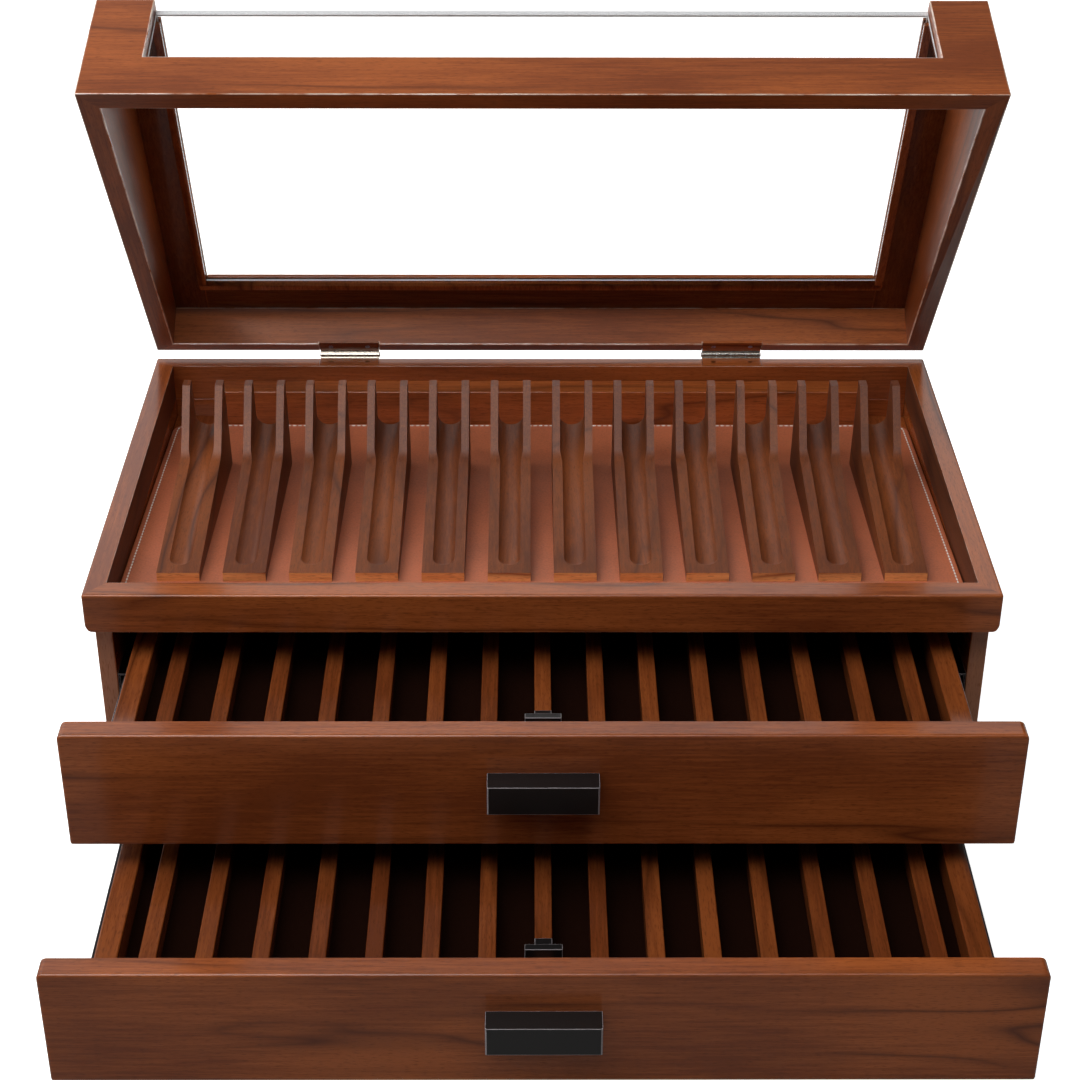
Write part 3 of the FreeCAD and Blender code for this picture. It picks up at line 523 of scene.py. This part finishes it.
def stained_walnut(name, grain, in_lid=False, tone=1.0, gloss=SPRAYED, palette=None):
    """Walnut, stained red-brown and sprayed with satin lacquer.

    Long soft streaks run with the grain, short dark pores lie in them, and cut ends show a lighter speckle.
    The palette's three colours stand for the stain's middle, light and dark ones, and tone dims all three.
    """
    colours = bpy.context.scene.chest_colours
    rough, coat = gloss
    material, tree = new_material("walnut_" + name)
    seed = zlib.crc32(name.encode())
    shift = [((seed >> k) % 97) * 0.031 for k in (0, 8, 16)]
    place = add(tree, "ShaderNodeTexCoord")
    turn = LID_OPEN if in_lid else 0.0
    flat = add(tree, "ShaderNodeMapping", {
        "Vector": place.outputs["Object"], "Rotation": (turn, 0, 0), "Location": shift})

    def stretched(share):
        scale = [share if axis == grain else 1.0 for axis in "XYZ"]
        return add(tree, "ShaderNodeMapping", {"Vector": flat.outputs[0], "Scale": scale}).outputs[0]

    # clouds about 50 mm across and three times as long
    cloud = add(tree, "ShaderNodeTexNoise", {"Vector": stretched(0.33), "Scale": 20.0, "Detail": 2.0})
    # growth rings: level lines of a smooth field, drawn out along the board, 5 to 20 mm apart and faint
    field = add(tree, "ShaderNodeTexNoise", {
        "Vector": stretched(0.11), "Scale": 17.0, "Detail": 3.0, "Roughness": 0.45, "Distortion": 0.15})
    rings = add(tree, "ShaderNodeMath", {0: field.outputs[0], 1: 16.0}, operation="MULTIPLY")
    ring = add(tree, "ShaderNodeMath", {0: rings.outputs[0], 1: 1.0}, operation="PINGPONG")
    late = add(tree, "ShaderNodeMath", {0: ring.outputs[0], 1: 5.0}, operation="POWER")
    here = add(tree, "ShaderNodeMapRange", {
        "Value": cloud.outputs[0], "From Min": 0.42, "From Max": 0.62, "To Min": 0.1, "To Max": 0.95})
    late_dark = add(tree, "ShaderNodeMath", {0: late.outputs[0], 1: here.outputs[0]}, operation="MULTIPLY")
    # fine streaks about 1.2 mm wide and 25 mm long
    streak = add(tree, "ShaderNodeTexNoise", {
        "Vector": stretched(0.045), "Scale": 800.0, "Detail": 3.0, "Roughness": 0.6})
    # pores are 0.1 mm wide: drawn 0.5 mm wide and 4 mm long, so that they show
    pore = add(tree, "ShaderNodeTexNoise", {"Vector": stretched(0.12), "Scale": 2300.0, "Detail": 1.0})
    pored_here = add(tree, "ShaderNodeMapRange", {
        "Value": pore.outputs[0], "From Min": 0.55, "From Max": 0.72})
    level = add(tree, "ShaderNodeMix", {0: 0.4, 2: cloud.outputs[0], 3: streak.outputs[0]},
                data_type="FLOAT")
    mid, light, dark = (shaded(linear(h), tone)
                        for h in palette or (colours.wood_mid, colours.wood_light, colours.wood_dark))
    ground = add(tree, "ShaderNodeValToRGB", {0: level.outputs[0]}, stops=[(0.4, mid), (0.6, light)])
    ringed = add(tree, "ShaderNodeMix", {0: late_dark.outputs[0], 6: ground.outputs[0], 7: dark},
                 data_type="RGBA")
    amount = add(tree, "ShaderNodeMath", {0: pored_here.outputs[0], 1: 0.5}, operation="MULTIPLY")
    pored = add(tree, "ShaderNodeMix", {0: amount.outputs[0], 6: ringed.outputs[2], 7: dark},
                data_type="RGBA")
    # cut ends
    cells = add(tree, "ShaderNodeTexNoise", {"Vector": flat.outputs[0], "Scale": 1500.0, "Detail": 2.0})
    ends = add(tree, "ShaderNodeValToRGB", {0: cells.outputs[0]},
               stops=[(0.38, linear(colours.end_dark)), (0.62, linear(colours.end_light))])
    axis = {"X": (1, 0, 0), "Y": (0, 1, 0), "Z": (0, 0, 1)}[grain]
    if in_lid and grain == "Y":
        axis = (0, math.cos(LID_OPEN), -math.sin(LID_OPEN))
    along = add(tree, "ShaderNodeVectorMath", {0: place.outputs["Normal"], 1: axis}, operation="DOT_PRODUCT")
    size = add(tree, "ShaderNodeMath", {0: along.outputs["Value"]}, operation="ABSOLUTE")
    is_end = add(tree, "ShaderNodeMapRange", {
        "Value": size.outputs[0], "From Min": 0.75, "From Max": 0.95, "To Max": 0.8})
    colour = add(tree, "ShaderNodeMix", {0: is_end.outputs[0], 6: pored.outputs[2], 7: ends.outputs[0]},
                 data_type="RGBA")
    satin = add(tree, "ShaderNodeMapRange", {
        "Value": streak.outputs[0], "To Min": rough, "To Max": rough + 0.12})
    relief = add(tree, "ShaderNodeMath", {0: pored_here.outputs[0], 1: -0.5, 2: streak.outputs[0]},
                 operation="MULTIPLY_ADD")
    bump = add(tree, "ShaderNodeBump", {"Strength": 0.05, "Distance": 0.00004, "Height": relief.outputs[0]})
    shader = add(tree, "ShaderNodeBsdfPrincipled", {
        "Base Color": colour.outputs[2], "Roughness": satin.outputs[0], "Normal": bump.outputs[0],
        "IOR": 1.5, "Specular IOR Level": 0.3, "Coat Weight": coat, "Coat Roughness": 0.08})
    finish_surface(tree, shader)
    return material


def painted_arris_highlight():
    """Arris of a lacquered frame: polished, with a near-white base colour that paints a thin bright highlight
    line along it.
    """
    material = bpy.data.materials.get("walnut_rubbed_arris")
    if material:
        return material
    colours = bpy.context.scene.chest_colours
    material, tree = new_material("walnut_rubbed_arris")
    place = add(tree, "ShaderNodeTexCoord")
    # the painted highlight comes and goes over about 12 mm
    wear = add(tree, "ShaderNodeTexNoise", {"Vector": place.outputs["Object"], "Scale": 80.0, "Detail": 4.0})
    colour = add(tree, "ShaderNodeValToRGB", {0: wear.outputs[0]},
                 stops=[(0.35, linear(colours.wood_light)), (0.65, linear(colours.arris))])
    finish_surface(tree, add(tree, "ShaderNodeBsdfPrincipled", {
        "Base Color": colour.outputs[0], "Roughness": 0.18, "IOR": 1.5, "Specular IOR Level": 1.0,
        "Coat Weight": 1.0, "Coat Roughness": 0.1}))
    return material


def grained_leather():
    """Split cowhide with a fine pressed grain: soft, low pebbles 0.8 mm across with paler crowns."""
    colours = bpy.context.scene.chest_colours
    material, tree = new_material("leather_pad")
    place = add(tree, "ShaderNodeTexCoord")
    pebbles = add(tree, "ShaderNodeTexVoronoi", {"Vector": place.outputs["Object"], "Scale": 1250.0},
                  feature="SMOOTH_F1")
    cloud = add(tree, "ShaderNodeTexNoise", {"Vector": place.outputs["Object"], "Scale": 28.0, "Detail": 4.0})
    crown = add(tree, "ShaderNodeMapRange", {
        "Value": pebbles.outputs[0], "From Max": 0.8, "To Min": 1.0, "To Max": 0.0})
    tint = add(tree, "ShaderNodeMath", {0: crown.outputs[0], 1: 0.45, 2: cloud.outputs[0]},
               operation="MULTIPLY_ADD")
    colour = add(tree, "ShaderNodeValToRGB", {0: tint.outputs[0]},
                 stops=[(0.35, linear(colours.leather_dark)), (0.9, linear(colours.leather))])
    bump = add(tree, "ShaderNodeBump", {"Strength": 0.35, "Distance": 0.00008, "Height": crown.outputs[0]})
    shader = add(tree, "ShaderNodeBsdfPrincipled", {
        "Base Color": colour.outputs[0], "Roughness": 0.52, "Normal": bump.outputs[0], "IOR": 1.5,
        "Specular IOR Level": 0.45, "Sheen Weight": 0.12, "Sheen Roughness": 0.5})
    finish_surface(tree, shader)
    return material


def waxed_thread():
    """Waxed polyester thread, off-white, with its ply showing as fine slanting ribs."""
    colours = bpy.context.scene.chest_colours
    material, tree = new_material("waxed_thread")
    place = add(tree, "ShaderNodeTexCoord")
    ply = add(tree, "ShaderNodeTexWave", {
        "Vector": place.outputs["Object"], "Scale": 900.0, "Distortion": 0.5}, bands_direction="DIAGONAL")
    base = linear(colours.thread)
    colour = add(tree, "ShaderNodeValToRGB", {0: ply.outputs["Fac"]},
                 stops=[(0.0, shaded(base, 0.8)), (0.6, base)])
    shader = add(tree, "ShaderNodeBsdfPrincipled", {
        "Base Color": colour.outputs[0], "Roughness": 0.6, "Specular IOR Level": 0.3})
    finish_surface(tree, shader)
    return material


def pile(name, hexcode, scale, sheen):
    """Short fibre pile, as of velvet or felt: dark, matt, with a faint bloom towards its edges."""
    material, tree = new_material(name)
    place = add(tree, "ShaderNodeTexCoord")
    fibres = add(tree, "ShaderNodeTexNoise", {
        "Vector": place.outputs["Object"], "Scale": scale, "Detail": 4.0})
    base = linear(hexcode)
    colour = add(tree, "ShaderNodeValToRGB", {0: fibres.outputs[0]},
                 stops=[(0.3, shaded(base, 0.6)), (0.7, shaded(base, 1.5))])
    bump = add(tree, "ShaderNodeBump", {"Strength": 0.5, "Distance": 0.0002, "Height": fibres.outputs[0]})
    shader = add(tree, "ShaderNodeBsdfPrincipled", {
        "Base Color": colour.outputs[0], "Roughness": 0.95, "Normal": bump.outputs[0],
        "Specular IOR Level": 0.0, "Sheen Weight": sheen, "Sheen Roughness": 0.6})
    finish_surface(tree, shader)
    return material


def metal(name, hexcode, metallic, rough, grit, depth):
    """Plated, blackened or enamelled metal, its colour and gloss faintly mottled.

    The mottle has grit marks in a metre, and its relief is depth metres high.
    """
    material, tree = new_material(name)
    place = add(tree, "ShaderNodeTexCoord")
    marks = add(tree, "ShaderNodeTexNoise", {"Vector": place.outputs["Object"], "Scale": grit, "Detail": 3.0})
    satin = add(tree, "ShaderNodeMapRange", {
        "Value": marks.outputs[0], "To Min": rough * 0.8, "To Max": rough * 1.3})
    base = linear(hexcode)
    colour = add(tree, "ShaderNodeValToRGB", {0: marks.outputs[0]},
                 stops=[(0.3, shaded(base, 0.85)), (0.7, shaded(base, 1.1))])
    bump = add(tree, "ShaderNodeBump", {"Strength": 0.1, "Distance": depth, "Height": marks.outputs[0]})
    shader = add(tree, "ShaderNodeBsdfPrincipled", {
        "Base Color": colour.outputs[0], "Metallic": metallic, "Roughness": satin.outputs[0],
        "Normal": bump.outputs[0]})
    finish_surface(tree, shader)
    return material


def float_glass():
    """Clear float glass with polished faces: seen only by what it mirrors, with a trace of haze."""
    material, tree = new_material("float_glass")
    place = add(tree, "ShaderNodeTexCoord")
    film = add(tree, "ShaderNodeTexNoise", {"Vector": place.outputs["Object"], "Scale": 9.0, "Detail": 2.0})
    haze = add(tree, "ShaderNodeMapRange", {"Value": film.outputs[0], "To Min": 0.0, "To Max": 0.02})
    shader = add(tree, "ShaderNodeBsdfPrincipled", {
        "Base Color": (1, 1, 1, 1), "Roughness": haze.outputs[0], "IOR": 1.5, "Transmission Weight": 1.0})
    # lamps and bounced light go straight through, as they do through a thin pane
    ray = add(tree, "ShaderNodeLightPath")
    lit = add(tree, "ShaderNodeMath", {
        0: ray.outputs["Is Shadow Ray"], 1: ray.outputs["Is Diffuse Ray"]}, operation="MAXIMUM")
    clear = add(tree, "ShaderNodeBsdfTransparent", {"Color": (0.93, 0.95, 0.94, 1)})
    finish_surface(tree, add(tree, "ShaderNodeMixShader", {
        0: lit.outputs[0], 1: shader.outputs[0], 2: clear.outputs[0]}))
    return material


def ground_edge():
    """Ground edge of a glass pane: a matt, pale grey line with fine pits."""
    colours = bpy.context.scene.chest_colours
    material, tree = new_material("ground_glass_edge")
    place = add(tree, "ShaderNodeTexCoord")
    grit = add(tree, "ShaderNodeTexNoise", {
        "Vector": place.outputs["Object"], "Scale": 2200.0, "Detail": 2.0})
    colour = add(tree, "ShaderNodeValToRGB", {0: grit.outputs[0]},
                 stops=[(0.3, linear(colours.glass_edge)), (0.7, linear(colours.glass_edge_light))])
    finish_surface(tree, add(tree, "ShaderNodeBsdfPrincipled", {
        "Base Color": colour.outputs[0], "Roughness": 0.45, "IOR": 1.5}))
    return material


# ---------------------------------------------------------------- pieces

def rounded_outline(inset, half_width, front, back, steps=9):
    """Outline of the pad pulled in by inset: square front corners, quarter circles at the back ones."""
    w, low, high = half_width - inset, front + inset, back - inset
    r = max(PAD_BACK_RADIUS - inset, 0.2 * MM)
    turn = np.linspace(0, math.pi / 2, steps)
    right = np.stack([w - r + r * np.cos(turn), high - r + r * np.sin(turn)], -1)
    left = np.stack([-w + r - r * np.sin(turn), high - r + r * np.cos(turn)], -1)
    return np.concatenate([[[w, low]], right, left, [[-w, low]]])


def pad_box():
    """The pad's box, and how far its face falls towards the back for each unit of the way."""
    low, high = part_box("tray_pad")
    return low, high, (high.z - PAD_THICKNESS - low.z) / (high.y - low.y)


def bright_edged(node, width, finish, edge):
    """Metal piece whose small slanting faces, its arrises and rounds, take the edge finish: a painted pale
    highlight on enamel, bare steel on the rest.
    """
    piece = clothe(softened(node, width, 2), finish)
    slanting = np.abs(face_values(piece.data, "normal", 3)).max(1) < SLANTING
    add_finish(piece, edge, slanting & (face_values(piece.data, "area") < ARRIS_FACE))


def covered_leaves(node, width, finish):
    """Hinge leaves, cut at the chest's back face: the part in the wood lies under a slip of walnut."""
    in_lid = node.endswith("lid")
    spin = Matrix.Rotation(-LID_OPEN if in_lid else 0.0, 3, "X")
    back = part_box("rim_back")[1].y
    work = merged(node)
    place = Vector(HINGE) + spin @ Vector((0, back - HINGE[1], 0))
    cut(work, list(work.faces), place, spin @ Vector((0, 1, 0)))
    piece = clothe(rounded_piece(node + "_finished", work, width, NODES[node]["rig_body"], [node], 2), finish)
    middles = face_values(piece.data, "center", 3)
    add_finish(piece, stained_walnut(node, "X", in_lid), (shut(middles) if in_lid else middles)[:, 1] < back)


class CHEST_OT_boards(bpy.types.Operator):
    """Walnut boards of the carcass, rim, lid and drawers, with softened arrises"""
    bl_idname = "chest.boards"
    bl_label = "Boards"

    def execute(self, context):
        colours = context.scene.chest_colours
        for grain, boards in (("X", X_GRAIN), ("Y", Y_GRAIN)):
            for node, arris in boards.items():
                tone = next((tone for start, tone in TONES.items() if node.startswith(start)), 1.0)
                board = walnut_board(node, arris * MM, grain, tone)
                if "front" in node:
                    round_corners(board, *FRONT_CORNERS)
                if node.startswith(("lid_stile", "lid_rail")):
                    # the faces that look down when the lid is shut are darkened: painted shade inside the lid
                    down = shut(face_values(board.data, "normal", 3) + HINGE)[:, 2] - HINGE[2] < -FACING
                    add_finish(board, stained_walnut(node + "_inside", grain, True, LID_INSIDE_SHADE), down)
        for node in ("side_panel_left", "side_panel_right"):
            # veneered faces, with a lipping of upright grain on the front and back edges; its pale greyish
            # colours are a painted sheen
            panel = walnut_board(node, PANEL_ARRIS, "Y")
            lipping_with_sheen = stained_walnut(
                node + "_lipping", "Z", palette=(colours.lipping_with_sheen, colours.lipping_light, colours.wood_mid))
            add_finish(panel, lipping_with_sheen, np.abs(face_values(panel.data, "normal", 3)[:, 1]) > FACING)
        return {"FINISHED"}


class CHEST_OT_frames(bpy.types.Operator):
    """Mitred frames of the tray's rim and of the lid"""
    bl_idname = "chest.frames"
    bl_label = "Frames"

    def execute(self, context):
        mitred_frame("rim_frame", "rim_front", "rim_back", "rim_left", "rim_right", RIM_ARRIS, False)
        mitred_frame("lid_frame", "lid_front", "lid_back", "lid_left", "lid_right", LID_ARRIS, True)
        return {"FINISHED"}


class CHEST_OT_cradles(bpy.types.Operator):
    """Twelve pen cradles with a ball-nosed groove and two ears each"""
    bl_idname = "chest.cradles"
    bl_label = "Cradles"

    def execute(self, context):
        colours = context.scene.chest_colours
        arris = context.scene.chest_sizes.cradle_arris
        for node in CRADLES:
            cradle = walnut_board(node, arris, "Y", CRADLE_TONE, WIPED, segments=2)
            # the sawn front end takes less stain
            end = stained_walnut(node + "_end", "X", gloss=WIPED,
                                 palette=(colours.sawn_end, colours.sawn_end_light, colours.wood_mid))
            normals, middles = (face_values(cradle.data, key, 3) for key in ("normal", "center"))
            add_finish(cradle, end, (normals[:, 1] < -0.9) & (middles[:, 1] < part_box(node)[0].y + MM))
        return {"FINISHED"}


class CHEST_OT_pad(bpy.types.Operator):
    """Leather pad of the tray, its edge rolled over"""
    bl_idname = "chest.pad"
    bl_label = "Tray pad"

    def execute(self, context):
        low, high, slope = pad_box()
        roll = context.scene.chest_sizes.pad_roll
        # rings: the pad's height rises as a quarter ellipse over the width of the roll, then stays level
        quarter = np.linspace(0, math.pi / 2, 7)
        insets = [0.0] + list(roll * (1 - np.cos(quarter))) + [roll * 2.2]
        rise = PAD_FOOT + (PAD_THICKNESS - PAD_FOOT) * np.sin(quarter)
        heights = [0.0] + list(rise) + [PAD_THICKNESS]
        rings = [rounded_outline(i, high.x, low.y, high.y) for i in insets]
        count = len(rings[0])
        points = np.zeros((len(rings), count, 3))
        for k, (ring, height) in enumerate(zip(rings, heights)):
            points[k, :, :2] = ring
            points[k, :, 2] = high.z - PAD_THICKNESS - (ring[:, 1] - low.y) * slope + height
        faces = grid_faces(len(rings), count, wrap=True).tolist()
        faces.append(list(range((len(rings) - 1) * count, len(rings) * count)))
        faces.append(list(range(count))[::-1])
        pad = mesh_object("leather_pad", points, faces)
        pad.data.shade_smooth()
        even_flats(pad)
        clothe(pad, grained_leather())
        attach(pad, "chest")
        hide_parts("tray_pad")
        return {"FINISHED"}


class CHEST_OT_stitching(bpy.types.Operator):
    """Pale lock stitches along the pad's sides and back"""
    bl_idname = "chest.stitching"
    bl_label = "Stitching"

    def execute(self, context):
        sizes = context.scene.chest_sizes
        low, high, slope = pad_box()
        path = rounded_outline(sizes.stitch_inset, high.x, low.y, high.y, 24)
        steps = np.linalg.norm(np.diff(path, axis=0), axis=1)
        run = np.concatenate([[0], np.cumsum(steps)])
        number = int(run[-1] / sizes.stitch_pitch)
        middles = (np.arange(number) + 0.5) * run[-1] / number
        x, y = (np.interp(middles, run, path[:, k]) for k in (0, 1))
        ahead = np.stack([np.interp(middles + 0.1 * MM, run, path[:, k]) - here
                          for k, here in ((0, x), (1, y))], -1)
        ahead /= np.linalg.norm(ahead, axis=1, keepdims=True) + 1e-12
        # one stitch: a six-sided spindle whose radius swells as the square root of a half sine
        rings, sides = 7, 6
        share = np.linspace(-0.5, 0.5, rings)
        around = np.linspace(0, 2 * math.pi, sides, endpoint=False)
        radius = sizes.thread_width / 2 * np.sqrt(np.cos(math.pi * share * 0.97))
        across = radius[:, None] * np.cos(around)
        up = radius[:, None] * np.sin(around)
        forward = np.repeat(share[:, None] * sizes.stitch_length, sides, 1)
        points = np.zeros((number, rings, sides, 3))
        for k, middle, aside in ((0, x, -ahead[:, 1]), (1, y, ahead[:, 0])):
            points[..., k] = (middle[:, None, None] + forward * ahead[:, k, None, None]
                              + across * aside[:, None, None])
        points[..., 2] = high.z - (points[..., 1] - low.y) * slope + up
        starts = np.arange(number) * rings * sides
        faces = (grid_faces(rings, sides, wrap=True)[None] + starts[:, None, None]).reshape(-1, 4).tolist()
        faces += (starts[:, None] + np.arange(sides)[::-1]).tolist()
        faces += (starts[:, None] + (rings - 1) * sides + np.arange(sides)).tolist()
        seam = mesh_object("pad_stitching", points, faces)
        seam.data.shade_smooth()
        fix_normals(seam)
        clothe(seam, waxed_thread())
        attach(seam, "chest")
        return {"FINISHED"}


class CHEST_OT_metalwork(bpy.types.Operator):
    """Pulls, tabs, slides, hinges and their screws"""
    bl_idname = "chest.metalwork"
    bl_label = "Metalwork"

    def execute(self, context):
        colours = context.scene.chest_colours
        # enamel is a satin black; its arrises are painted pale grey, a painted highlight line
        black = metal("black_enamel", colours.black, 0.0, 0.33, 2600.0, 0.02 * MM)
        edge = metal("black_enamel_edge", colours.metal_edge_highlight_and_wear, 0.0, 0.25, 2600.0, 0.01 * MM)
        # blackened steel shines softly through its black; its small rounds are bare steel, worn bright and
        # painted light as a highlight line
        slide = metal("blackened_steel", colours.slide, 0.85, 0.32, 900.0, 0.02 * MM)
        steel_wear_and_highlight = metal("steel_edge", colours.metal_edge_highlight_and_wear, 0.9, 0.3, 900.0, 0.01 * MM)
        # nickel is a bright, slightly warm silver
        nickel = metal("nickel_plate", colours.nickel, 1.0, 0.2, 1400.0, 0.01 * MM)
        covered_leaves("hinge_leaves_rim", LEAF_ARRIS, nickel)
        covered_leaves("hinge_leaves_lid", LEAF_ARRIS, nickel)
        bright_edged("hinge_pins", STEEL_ARRIS, nickel, steel_wear_and_highlight)
        # a screw's level faces have the walnut of the leaves; its slanting faces are bare steel, and in the
        # open lid all of them slant
        for place in ("rim", "lid"):
            plug = stained_walnut("hinge_plugs_" + place, "X", place == "lid")
            bright_edged("hinge_screws_" + place, 0.0, plug, steel_wear_and_highlight)
        bright_edged("cabinet_slides", STEEL_ARRIS, slide, steel_wear_and_highlight)
        for level in LEVELS:
            for piece in ("handle", "lift_tab"):
                bright_edged(f"{piece}_{level}", context.scene.chest_sizes.metal_arris, black, edge)
            bright_edged(f"handle_screws_{level}", SCREW_ARRIS, nickel, steel_wear_and_highlight)
            bright_edged(f"drawer_runners_{level}", STEEL_ARRIS, slide, steel_wear_and_highlight)
        return {"FINISHED"}


class CHEST_OT_linings(bpy.types.Operator):
    """Velvet-lined decks of the drawers and the felt under the chest"""
    bl_idname = "chest.linings"
    bl_label = "Linings"

    def execute(self, context):
        colours = context.scene.chest_colours
        velvet = pile("velvet_lining", colours.lining, 3200.0, 0.0)
        felt = pile("wool_felt", colours.felt, 1800.0, 0.3)
        linings = {"drawer_deck_upper": velvet, "drawer_deck_lower": velvet, "felt_base": felt}
        for node, finish in linings.items():
            clothe(softened(node, LINING_ARRIS, 2), finish)
        return {"FINISHED"}


class CHEST_OT_glass(bpy.types.Operator):
    """Panes of the lid"""
    bl_idname = "chest.glass"
    bl_label = "Glass"

    def execute(self, context):
        glass, ground = float_glass(), ground_edge()
        for node in ("glass_top", "glass_front"):
            pane = clothe(softened(node, PANE_ARRIS, 2), glass)
            # the two broad faces stay clear, and the narrow ones round them are ground
            areas = face_values(pane.data, "area")
            add_finish(pane, ground, areas < areas.max() / 4)
        return {"FINISHED"}


def paper_sweep(pale):
    """Matt paper: pale to the eye and through glass, and darker in the light that it throws on the chest."""
    material, tree = new_material("paper_sweep")
    ray = add(tree, "ShaderNodeLightPath")
    seen = add(tree, "ShaderNodeMath", {
        0: ray.outputs["Is Camera Ray"], 1: ray.outputs["Is Transmission Ray"]}, operation="MAXIMUM")
    # the paper behind the chest glows, so the lacquer mirrors it
    place = add(tree, "ShaderNodeTexCoord")
    split = add(tree, "ShaderNodeSeparateXYZ", {0: place.outputs["Object"]})
    behind = add(tree, "ShaderNodeMapRange", {"Value": split.outputs["Y"], "From Min": 0.15, "From Max": 0.3})
    thrown = add(tree, "ShaderNodeBsdfPrincipled", {
        "Base Color": shaded(pale, 0.45), "Roughness": 0.9, "Specular IOR Level": 0.0,
        "Emission Color": pale, "Emission Strength": behind.outputs[0]})
    shown = add(tree, "ShaderNodeBsdfPrincipled", {
        "Base Color": pale, "Roughness": 0.9, "Specular IOR Level": 0.0,
        "Emission Color": pale, "Emission Strength": 1.0})
    finish_surface(tree, add(tree, "ShaderNodeMixShader", {
        0: seen.outputs[0], 1: thrown.outputs[0], 2: shown.outputs[0]}))
    return material


def studio_world(pale, power):
    """Room: as pale as the floor to the eye, and dim in what it throws on the chest."""
    world = bpy.data.worlds.new("studio")
    world.use_nodes = True
    tree = world.node_tree
    tree.nodes.clear()
    ray = add(tree, "ShaderNodeLightPath")
    dim, bright = (add(tree, "ShaderNodeBackground", {"Color": pale, "Strength": s}) for s in (power, 1.0))
    room = add(tree, "ShaderNodeMixShader", {
        0: ray.outputs["Is Camera Ray"], 1: dim.outputs[0], 2: bright.outputs[0]})
    add(tree, "ShaderNodeOutputWorld", {"Surface": room.outputs[0]})
    return world


def camera_turn(pitch, yaw, roll):
    """Turn of a camera that looks towards positive y, then yaw to the right, pitch down and roll over."""
    ahead = Vector((math.sin(yaw) * math.cos(pitch), math.cos(yaw) * math.cos(pitch), -math.sin(pitch)))
    level = Vector((math.cos(yaw), -math.sin(yaw), 0))
    up = level.cross(ahead)
    right = level * math.cos(roll) + up * math.sin(roll)
    top = up * math.cos(roll) - level * math.sin(roll)
    return Matrix((right, top, -ahead)).transposed().to_4x4()


class CHEST_OT_stage(bpy.types.Operator):
    """Pale floor, softboxes and camera"""
    bl_idname = "chest.stage"
    bl_label = "Stage"

    def execute(self, context):
        scene = context.scene
        stage = scene.chest_stage
        pale = linear(scene.chest_colours.floor)
        scene.view_settings.view_transform = "Standard"
        corners = [(-FLOOR_REACH, -FLOOR_REACH, 0), (FLOOR_REACH, -FLOOR_REACH, 0),
                   (FLOOR_REACH, FLOOR_REACH, 0), (-FLOOR_REACH, FLOOR_REACH, 0)]
        floor = clothe(mesh_object("floor", corners, [[0, 1, 2, 3]]), paper_sweep(pale))
        floor.location.z = CAD_BOX[0][2]
        scene.world = studio_world(pale, stage.sky)

        for name, (power, place, size) in LAMPS.items():
            light = bpy.data.lights.new(name, "AREA")
            light.shape = "RECTANGLE"
            light.size, light.size_y = size
            light.energy = getattr(stage, power)
            lamp = bpy.data.objects.new(name, light)
            lamp.location = place
            lamp.rotation_euler = (LIT_PLACE - Vector(place)).to_track_quat("-Z", "Y").to_euler()
            lamp.visible_camera = False
            lamp.visible_diffuse = name != "gloss_card"
            scene.collection.objects.link(lamp)

        lens = bpy.data.cameras.new("camera")
        lens.sensor_width = 36.0
        lens.sensor_fit = "HORIZONTAL"
        lens.lens = stage.lens
        camera = bpy.data.objects.new("camera", lens)
        turn = camera_turn(stage.pitch, stage.yaw, stage.roll)
        camera.matrix_world = Matrix.Translation(CAMERA_PLACE) @ turn
        scene.collection.objects.link(camera)
        scene.camera = camera
        return {"FINISHED"}


OPERATORS = (CHEST_OT_boards, CHEST_OT_frames, CHEST_OT_cradles, CHEST_OT_pad, CHEST_OT_stitching,
             CHEST_OT_metalwork, CHEST_OT_linings, CHEST_OT_glass, CHEST_OT_stage)


class CHEST_PT_panel(bpy.types.Panel):
    """Lists the chest's pieces"""
    bl_label = "Pen Collector Chest"
    bl_space_type = "VIEW_3D"
    bl_region_type = "UI"
    bl_category = "Chest"

    def draw(self, context):
        for operator in OPERATORS:
            self.layout.operator(operator.bl_idname)
        for group in (context.scene.chest_sizes, context.scene.chest_colours, context.scene.chest_stage):
            for name in group.__annotations__:
                self.layout.prop(group, name)


GROUPS = {"chest_sizes": ChestSizes, "chest_colours": ChestColours, "chest_stage": StageSettings}


def register():
    for cls in (*GROUPS.values(), *OPERATORS, CHEST_PT_panel):
        bpy.utils.register_class(cls)
    for name, group in GROUPS.items():
        setattr(bpy.types.Scene, name, PointerProperty(type=group))


def unregister():
    for name in GROUPS:
        delattr(bpy.types.Scene, name)
    for cls in reversed((*GROUPS.values(), *OPERATORS, CHEST_PT_panel)):
        bpy.utils.unregister_class(cls)


def main():
    register()
    for operator in OPERATORS:
        getattr(bpy.ops.chest, operator.bl_idname.split(".")[1])()


if __name__ == "__main__":
    main()
